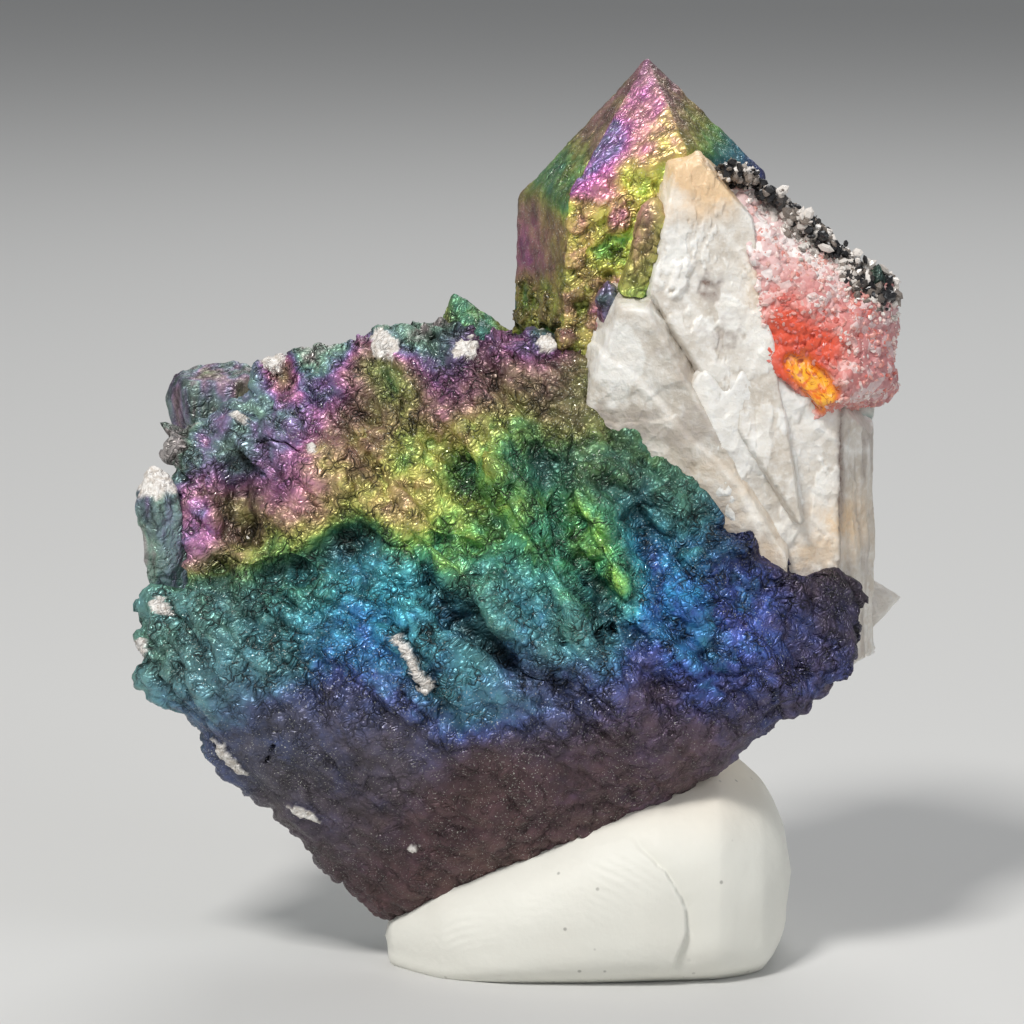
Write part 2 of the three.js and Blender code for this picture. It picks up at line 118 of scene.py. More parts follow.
def lineDistance(x, z, line):
    # distance to the nearest point of a line of straight stretches
    nearest = np.full(np.shape(x), 1e9)
    for (ax, az), (bx, bz) in zip(line[:-1], line[1:]):
        t = np.clip(((x - ax) * (bx - ax) + (z - az) * (bz - az)) / ((bx - ax) ** 2 + (bz - az) ** 2), 0, 1)
        nearest = np.minimum(nearest, np.hypot(x - ax - t * (bx - ax), z - az - t * (bz - az)))
    return nearest


def zoneValue(x, z, zones, column):
    # average of the zones' values, each weighted by a bell that falls off over its reach
    total = np.zeros(np.shape(x))
    weights = np.full(np.shape(x), 1e-9)
    for zone in zones:
        w = np.exp(-((x - zone[0]) ** 2 + (z - zone[1]) ** 2) / zone[2] ** 2)
        total += w * zone[column]
        weights += w
    return total / weights


def smoothStep(low, high, value):
    # 0 below low and 1 above high, with a smooth cubic between; falls instead where high is below low
    t = np.clip((value - low) / (high - low), 0, 1)
    return t * t * (3 - 2 * t)


def bell(x, z, cx, cz, rx, rz):
    # 1 at the middle, falling to nothing over its two reaches
    return np.exp(-(((x - cx) / rx) ** 2) - ((z - cz) / rz) ** 2)


def spot(x, z, place, ragged, inner, outer):
    # 1 inside an ellipse given as x, z and its two half widths, 0 outside, with a ragged rim between
    cx, cz, wide, tall = place
    return 1 - smoothStep(inner, outer, np.hypot((x - cx) / wide, (z - cz) / tall) + ragged)


# The materials read these numbers per corner: most run from 0 to 1, the brightness further.
shadeLimits = (0.03, 2.2)


def addPiece(name, points, faces, material, attributes, replaced=None, smooth=True):
    # puts points in millimetres and faces into a mesh, with its numbers per corner, and rides it on the frame
    mesh = bpy.data.meshes.new(name)
    mesh.from_pydata(((points - originPlace) * mm).tolist(), [], faces)
    mesh.polygons.foreach_set("use_smooth", [smooth] * len(mesh.polygons))
    for key, values in attributes.items():
        low, high = shadeLimits if key == "shade" else (0, 1)
        values = np.broadcast_to(np.clip(values, low, high), len(points))
        layer = mesh.attributes.new(key, "FLOAT", "POINT")
        layer.data.foreach_set("value", np.ascontiguousarray(values, np.float32))
    mesh.update()
    mesh.materials.append(material)
    piece = bpy.data.objects.new(name, mesh)
    bpy.context.scene.collection.objects.link(piece)
    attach(piece, "root")
    if replaced:
        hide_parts(replaced)
    print("made", name, len(mesh.polygons), "faces")
    return piece


def facesOutward(points, faces):
    # turns all faces round if the volume they enclose comes out negative
    f = np.asarray(faces)
    a, b, c = points[f[:, 0]], points[f[:, 1]], points[f[:, 2]]
    volume = np.einsum("ij,ij->", a, np.cross(b, c))
    if f.shape[1] == 4:
        volume += np.einsum("ij,ij->", a, np.cross(c, points[f[:, 3]]))
    return (f if volume > 0 else f[:, ::-1]).tolist()


class Sock:
    # wraps one socket of a material's nodes, so that shader maths reads as a Python expression

    def __init__(self, tree, socket=None):
        self.tree = tree
        self.socket = socket

    def node(self, kind, settings=None, sockets=None, out=0):
        made = self.tree.nodes.new(kind)
        for key, value in (settings or {}).items():
            if key == "stops":
                self.setStops(made.color_ramp, value)
            else:
                setattr(made, key, value)
        for key, value in (sockets or {}).items():
            if isinstance(value, Sock):
                self.tree.links.new(value.socket, made.inputs[key])
            else:
                made.inputs[key].default_value = value
        return Sock(self.tree, made.outputs[out] if len(made.outputs) else None)

    def setStops(self, ramp, stops):
        for place, colour in stops[2:]:
            ramp.elements.new(place)
        for element, (place, colour) in zip(ramp.elements, stops):
            element.position = place
            element.color = (*colour, 1)

    def maths(self, operation, a, b=0.0):
        return self.node("ShaderNodeMath", {"operation": operation}, {0: a, 1: b})

    def __add__(self, other):
        return self.maths("ADD", self, other)

    def __radd__(self, other):
        return self.maths("ADD", other, self)

    def __sub__(self, other):
        return self.maths("SUBTRACT", self, other)

    def __rsub__(self, other):
        return self.maths("SUBTRACT", other, self)

    def __mul__(self, other):
        return self.maths("MULTIPLY", self, other)

    def __rmul__(self, other):
        return self.maths("MULTIPLY", other, self)

    def __pow__(self, other):
        return self.maths("POWER", self, other)

    def clamped(self, low=0.0, high=1.0):
        return self.node("ShaderNodeClamp", {}, {0: self, 1: low, 2: high})

    def between(self, low, high):
        settings = {"interpolation_type": "SMOOTHSTEP"}
        return self.node("ShaderNodeMapRange", settings, {0: self, 1: low, 2: high})

    def scaled(self, factor):
        return self.node("ShaderNodeVectorMath", {"operation": "SCALE"}, {0: self, "Scale": factor})

    def attribute(self, name):
        return self.node("ShaderNodeAttribute", {"attribute_name": name}, {}, "Fac")

    def blend(self, mask, a, b, mode="MIX"):
        # a where the mask is 0 and b where it is 1, for colours
        settings = {"data_type": "RGBA", "blend_type": mode}
        return self.node("ShaderNodeMix", settings, {0: mask, 6: a, 7: b}, 2)

    def noise(self, place, scale, detail=3.0, rough=0.5, warp=0.0):
        sockets = {"Vector": place, "Scale": scale, "Detail": detail, "Roughness": rough, "Distortion": warp}
        return self.node("ShaderNodeTexNoise", {}, sockets, "Fac")

    def cells(self, place, scale, feature="F1", out="Distance"):
        return self.node("ShaderNodeTexVoronoi", {"feature": feature}, {"Vector": place, "Scale": scale}, out)

    def objectPlace(self):
        return self.node("ShaderNodeTexCoord", {}, {}, "Object")

    def bump(self, height, strength, depth):
        return self.node("ShaderNodeBump", {}, {"Strength": strength, "Distance": depth, "Height": height})

    def surface(self, sockets):
        return self.node("ShaderNodeBsdfPrincipled", {}, sockets)

    def finish(self, shader):
        self.node("ShaderNodeOutputMaterial", {}, {0: shader})


def newMaterial(name):
    # an empty material and the wrapper that builds its nodes
    material = bpy.data.materials.new(name)
    material.use_nodes = True
    material.node_tree.nodes.clear()
    return material, Sock(material.node_tree)


# Iron film: the colours that a growing film thickness goes through, from bare maroon to the weathered rim.
filmLook = {
    "stops": [
        (0.00, (0.120, 0.060, 0.058)),
        (0.06, (0.105, 0.048, 0.062)),
        (0.12, (0.115, 0.062, 0.125)),
        (0.17, (0.070, 0.055, 0.210)),
        (0.22, (0.045, 0.095, 0.430)),
        (0.27, (0.035, 0.250, 0.520)),
        (0.32, (0.060, 0.380, 0.480)),
        (0.38, (0.070, 0.330, 0.290)),
        (0.44, (0.080, 0.350, 0.170)),
        (0.49, (0.250, 0.520, 0.110)),
        (0.54, (0.540, 0.580, 0.110)),
        (0.59, (0.520, 0.400, 0.120)),
        (0.64, (0.540, 0.310, 0.200)),
        (0.69, (0.600, 0.240, 0.310)),
        (0.74, (0.500, 0.130, 0.380)),
        (0.79, (0.280, 0.150, 0.450)),
        (0.84, (0.140, 0.270, 0.330)),
        (0.89, (0.200, 0.400, 0.270)),
        (0.94, (0.460, 0.370, 0.350)),
        (1.00, (0.420, 0.370, 0.340)),
    ],
    "dullTone": (0.150, 0.170, 0.180, 1),
    "wander": 0.05,  # how far the film's thickness wanders from place to place
    "wanderScale": 1300.0,
    "metal": 0.5,
    "rough": 0.42,
    "plateScale": 1250.0,
    "flowTurn": -0.75,
    "flowStretch": (1.0, 1.0, 0.55),
    "flowBend": (1500.0, 0.0008),  # scale of the noise that bends the plates, and how far
    "fineScale": 2.4,  # the finer plates against the larger ones
    "creaseWidth": 0.085,
    "fineCreaseWidth": 0.11,
    "domeWidth": 0.36,
    "patchScale": 800.0,
    "lumpScale": 1300.0,
    "gritScale": 4600.0,
    "heights": {"lump": 0.6, "grit": 0.22, "dome": 0.55, "fineDome": 0.22, "crease": 0.30},
    "creaseShadeTone": 0.08,  # painted shade: what is left of the colour in the finest creases
    "shadeRange": (0.02, 1.65),
    "glintScale": 11000.0,
    "glint": (0.85, 0.87, 0.78, 1),
    "bump": 1.0,
    "bumpDepth": 0.00022,
}
bareLook = {
    "pale": (0.88, 0.85, 0.81, 1),
    "shadow": (0.60, 0.54, 0.48, 1),
}


def filmColour(s, place):
    # the thickness attribute, made to wander by noise, looked up in the film's colours
    wander = s.noise(place, filmLook["wanderScale"], 3.0, 0.65) - 0.5
    film = s.attribute("film") + wander * (2 * filmLook["wander"])
    colour = s.node("ShaderNodeValToRGB", {"stops": filmLook["stops"]}, {0: film.clamped()})
    return s.blend(s.attribute("dull"), colour, filmLook["dullTone"])


def wrinkledHeight(s, place):
    # domed plates at two sizes over uneven lumps, drawn out along the folds; creases only run here and there
    look, heights = filmLook, filmLook["heights"]
    along = s.node("ShaderNodeMapping", {}, {"Vector": place, "Rotation": (0, look["flowTurn"], 0)})
    along = s.node("ShaderNodeVectorMath", {"operation": "MULTIPLY"}, {0: along, 1: look["flowStretch"]})
    bendScale, bendDepth = look["flowBend"]
    bend = s.node("ShaderNodeTexNoise", {}, {"Vector": place, "Scale": bendScale, "Detail": 1.0}, "Color")
    bent = s.node("ShaderNodeVectorMath", {"operation": "ADD"}, {0: along, 1: bend.scaled(bendDepth)})
    large = s.cells(bent, look["plateScale"], "DISTANCE_TO_EDGE")
    small = s.cells(bent, look["fineScale"] * look["plateScale"], "DISTANCE_TO_EDGE")
    patches = s.noise(place, look["patchScale"], 2.0)
    broken = patches.between(0.44, 0.58)
    brokenFine = patches.between(0.40, 0.52) * 0.7
    crease = (1 - large.between(0.0, look["creaseWidth"])) * broken
    fineCrease = (1 - small.between(0.0, look["fineCreaseWidth"])) * brokenFine * 0.8
    crease = s.maths("MAXIMUM", crease, fineCrease)
    lumps = s.noise(along, look["lumpScale"], 1.0)
    grit = s.noise(along, look["gritScale"], 1.0)
    dome = large.between(0.0, look["domeWidth"]) * broken
    height = lumps * heights["lump"] + grit * heights["grit"] + dome * heights["dome"]
    height = height + small.between(0.0, 0.34) * heights["fineDome"] - crease * heights["crease"]
    return height, crease * s.attribute("crisp"), lumps


def filmMaterial(name):
    # iron film with bare chips: colour by thickness, painted shade in the seams, satin like metal, tiny
    # painted glints
    material, s = newMaterial(name)
    place = s.objectPlace()
    height, crease, lumps = wrinkledHeight(s, place)
    colour = filmColour(s, place)
    # painted light and shade: lighter on the high lumps of the bump, darker on the low ones
    tone = lumps.between(0.30, 0.70) * 0.5 + 0.72
    # painted shade: the colour is darkened in the creases
    shade = s.attribute("shade") * (1 - (1 - filmLook["creaseShadeTone"]) * crease) * tone
    dark = colour.scaled(shade.clamped(*filmLook["shadeRange"]))
    # painted highlights: tiny pale glints mixed into the colour
    glint = s.noise(place, filmLook["glintScale"], 1.0).between(0.65, 0.72)
    glint = glint * s.attribute("glint")
    colour = s.blend(glint * 0.7, dark, filmLook["glint"])
    bare = s.attribute("bare")
    pale = s.blend(s.noise(place, 3000.0, 3.0, 0.7).between(0.35, 0.6), bareLook["shadow"], bareLook["pale"])
    colour = s.blend(bare, colour, pale)
    rough = filmLook["rough"] + (lumps - 0.5) * 0.4 - glint * 0.15
    height = height * (s.attribute("crisp") * 0.85 + 0.15)
    bump = s.bump(height, filmLook["bump"], filmLook["bumpDepth"])
    shader = s.surface({
        "Base Color": colour,
        "Metallic": (1 - bare) * filmLook["metal"],
        "Roughness": rough.clamped(0.15, 0.9),
        "Normal": bump,
        "Specular IOR Level": 0.7,
    })
    s.finish(shader)
    return material


# Broken quartz: milky white with clear smoky windows and a peach stain.
quartzLook = {
    "milk": (0.93, 0.91, 0.86, 1),
    "beige": (0.64, 0.58, 0.50, 1),
    "peach": (0.86, 0.62, 0.38, 1),
    "smoke": (0.30, 0.21, 0.17, 1),
    "cloudScale": 520.0,
    "fleckScale": 2600.0,
    "rough": 0.38,
    "subsurface": 0.22,
    "subsurfaceDepth": 0.0009,
    "clearness": 0.22,
    "fineScale": 5200.0,
    "broadScale": 900.0,
    "chipScale": 1300.0,
    "heights": {"fine": 0.30, "broad": 0.8, "chip": 0.7},
    "bump": 0.8,
    "bumpDepth": 0.0002,
    "frost": (0.93, 0.93, 0.92, 1),
    "clear": (0.9, 0.88, 0.86, 1),
}


def quartzColour(s, place):
    # milk and beige clouds, with the stain and smoke attributes laid over them
    cloud = s.noise(place, quartzLook["cloudScale"], 4.0, 0.62).between(0.38, 0.62)
    fleck = s.noise(place, quartzLook["fleckScale"], 2.0, 0.7).between(0.42, 0.75)
    tone = (s.attribute("grey") + (cloud - 0.5) * 0.35).clamped()
    colour = s.blend(tone, quartzLook["milk"], quartzLook["beige"])
    colour = s.blend(fleck * 0.45, colour, quartzLook["frost"])
    stain = (s.attribute("stain") * (0.55 + 0.9 * cloud)).clamped()
    colour = s.blend(stain, colour, quartzLook["peach"])
    smoke = (s.attribute("smoke") * (0.6 + 0.7 * fleck)).clamped()
    return s.blend(smoke, colour, quartzLook["smoke"])


def quartzMaterial(name, filmed=False):
    # milky quartz, see-through where it is smoky; on the broken back the film covers part of it
    material, s = newMaterial(name)
    place = s.objectPlace()
    colour = quartzColour(s, place)
    heights = quartzLook["heights"]
    fine = s.noise(place, quartzLook["fineScale"], 2.0, 0.65)
    broad = s.noise(place, quartzLook["broadScale"], 4.0, 0.62)
    chipped = s.cells(place, quartzLook["chipScale"]) * s.noise(place, 600.0, 1.0).between(0.42, 0.60)
    height = fine * heights["fine"] + broad * heights["broad"] + chipped * heights["chip"]
    metal = 0.0
    rough = quartzLook["rough"] + (fine - 0.5) * 0.4
    if filmed:
        cover = s.attribute("cover")
        colour = s.blend(cover, colour, filmColour(s, place))
        metal = cover * filmLook["metal"]
    bump = s.bump(height, quartzLook["bump"], quartzLook["bumpDepth"])
    milky = s.surface({
        "Base Color": colour,
        "Metallic": metal,
        "Roughness": rough.clamped(0.12, 0.9),
        "Normal": bump,
        "Subsurface Weight": quartzLook["subsurface"],
        "Subsurface Radius": (1.0, 0.9, 0.8),
        "Subsurface Scale": quartzLook["subsurfaceDepth"],
        "IOR": 1.54,
    })
    clear = s.surface({
        "Base Color": quartzLook["clear"],
        "Roughness": 0.16,
        "Normal": bump,
        "Transmission Weight": 1.0,
        "IOR": 1.54,
    })
    mask = s.attribute("smoke") * (0.0 if filmed else quartzLook["clearness"])
    mixed = s.node("ShaderNodeMixShader", {}, {0: mask, 1: milky, 2: clear})
    s.finish(mixed)
    return material


# Stained pocket: rose and red sugary grains around an orange glassy patch.
pocketLook = {
    "rose": (0.66, 0.27, 0.26, 1),
    "white": (0.90, 0.82, 0.80, 1),
    "red": (0.78, 0.10, 0.045, 1),
    "orange": (0.92, 0.19, 0.012, 1),
    "amber": (1.00, 0.50, 0.03, 1),
    "vein": (0.40, 0.020, 0.008, 1),
    "mauve": (0.42, 0.20, 0.23, 1),
    "grainScale": 2100.0,
    "glow": (0.9, 0.35, 0.03, 1),
    "glowStrength": 0.10,
}


def pocketMaterial(name):
    # rose ground, white grains by cell, red and orange by attribute, wet gloss on the orange, and a faint
    # painted glow in the amber
    material, s = newMaterial(name)
    place = s.objectPlace()
    grain = s.cells(place, pocketLook["grainScale"], "F1", "Color")
    grain = s.node("ShaderNodeSeparateColor", {}, {0: grain}, 0)
    cloud = s.noise(place, 700.0, 4.0, 0.6)
    white = (grain.between(0.45, 0.9) * 0.75 + (cloud - 0.5) * 0.8 + s.attribute("pale")).clamped()
    colour = s.blend(white, pocketLook["rose"], pocketLook["white"])
    colour = s.blend(s.attribute("mauve"), colour, pocketLook["mauve"])
    red = (s.attribute("red") + (cloud - 0.5) * 0.9 * s.attribute("red")).clamped()
    colour = s.blend(red, colour, pocketLook["red"])
    orange = s.attribute("orange")
    colour = s.blend(orange, colour, pocketLook["orange"])
    patch = s.noise(place, 1500.0, 3.0, 0.6, 1.0)
    amber = (s.attribute("amber") * patch.between(0.36, 0.60) * 1.3).clamped()
    colour = s.blend(amber, colour, pocketLook["amber"])
    vein = s.noise(place, 1900.0, 2.0, 0.65, 1.5).between(0.52, 0.64)
    colour = s.blend(vein * orange * 0.8, colour, pocketLook["vein"])
    fine = s.noise(place, 6000.0, 3.0, 0.6)
    bump = s.bump(fine + grain * 0.5, 0.5, 0.0001)
    rough = 0.42 - orange * 0.27 + (fine - 0.5) * 0.3
    shader = s.surface({
        "Base Color": colour,
        "Roughness": rough.clamped(0.08, 0.9),
        "Normal": bump,
        "Coat Weight": orange * 0.8,
        "Coat Roughness": 0.08,
        # painted glow: the amber gives off a faint light of its own
        "Emission Color": s.blend(amber, (0, 0, 0, 1), pocketLook["glow"]),
        "Emission Strength": pocketLook["glowStrength"],
        "IOR": 1.54,
    })
    s.finish(shader)
    return material


# Loose grains: three colours, the tones between which each pair is mixed, and the roughness.
druseLook = {
    "colours": ((0.014, 0.014, 0.016, 1), (0.24, 0.20, 0.17, 1), (0.80, 0.75, 0.70, 1)),
    "tones": ((0.30, 0.52), (0.52, 0.72)),
    "rough": 0.12,
}
sugarLook = {
    "colours": ((0.70, 0.17, 0.14, 1), (0.74, 0.38, 0.33, 1), (0.86, 0.76, 0.72, 1)),
    "tones": ((0.05, 0.40), (0.40, 0.75)),
    "rough": 0.16,
}


def grainMaterial(name, look):
    # glassy grains, one tone for each grain
    material, s = newMaterial(name)
    place = s.objectPlace()
    tone = s.attribute("tone")
    dark, middle, pale = look["colours"]
    lowTones, highTones = look["tones"]
    colour = s.blend(tone.between(*lowTones), dark, middle)
    colour = s.blend(tone.between(*highTones), colour, pale)
    fine = s.noise(place, 5000.0, 2.0, 0.6)
    shader = s.surface({
        "Base Color": colour,
        "Roughness": (look["rough"] + fine * 0.3).clamped(),
        "Normal": s.bump(fine, 0.3, 0.00005),
        "IOR": 1.54,
    })
    s.finish(shader)
    return material


# Putty: off-white, warmer where it is high, with dark specks.
puttyLook = {
    "pale": (0.83, 0.825, 0.755, 1),
    "warm": (0.84, 0.77, 0.66, 1),
    "speck": (0.30, 0.29, 0.26, 1),
    "rough": 0.58,
}


def puttyMaterial(name):
    # off-white putty: faint warm clouds, tiny dark specks, matt with a slight sheen
    material, s = newMaterial(name)
    place = s.objectPlace()
    cloud = s.noise(place, 160.0, 3.0, 0.5)
    warm = (s.attribute("warm") + (cloud - 0.5) * 0.4).clamped()
    colour = s.blend(warm, puttyLook["pale"], puttyLook["warm"])
    speck = 1 - s.cells(place, 900.0).between(0.05, 0.13)
    pick = s.noise(place, 300.0, 1.0).between(0.5, 0.62)
    colour = s.blend(speck * pick * 0.7, colour, puttyLook["speck"])
    fine = s.noise(place, 3600.0, 4.0, 0.6)
    bump = s.bump(fine, 0.25, 0.00008)
    shader = s.surface({
        "Base Color": colour,
        "Roughness": (puttyLook["rough"] + (fine - 0.5) * 0.25).clamped(),
        "Normal": bump,
    })
    s.finish(shader)
    return material


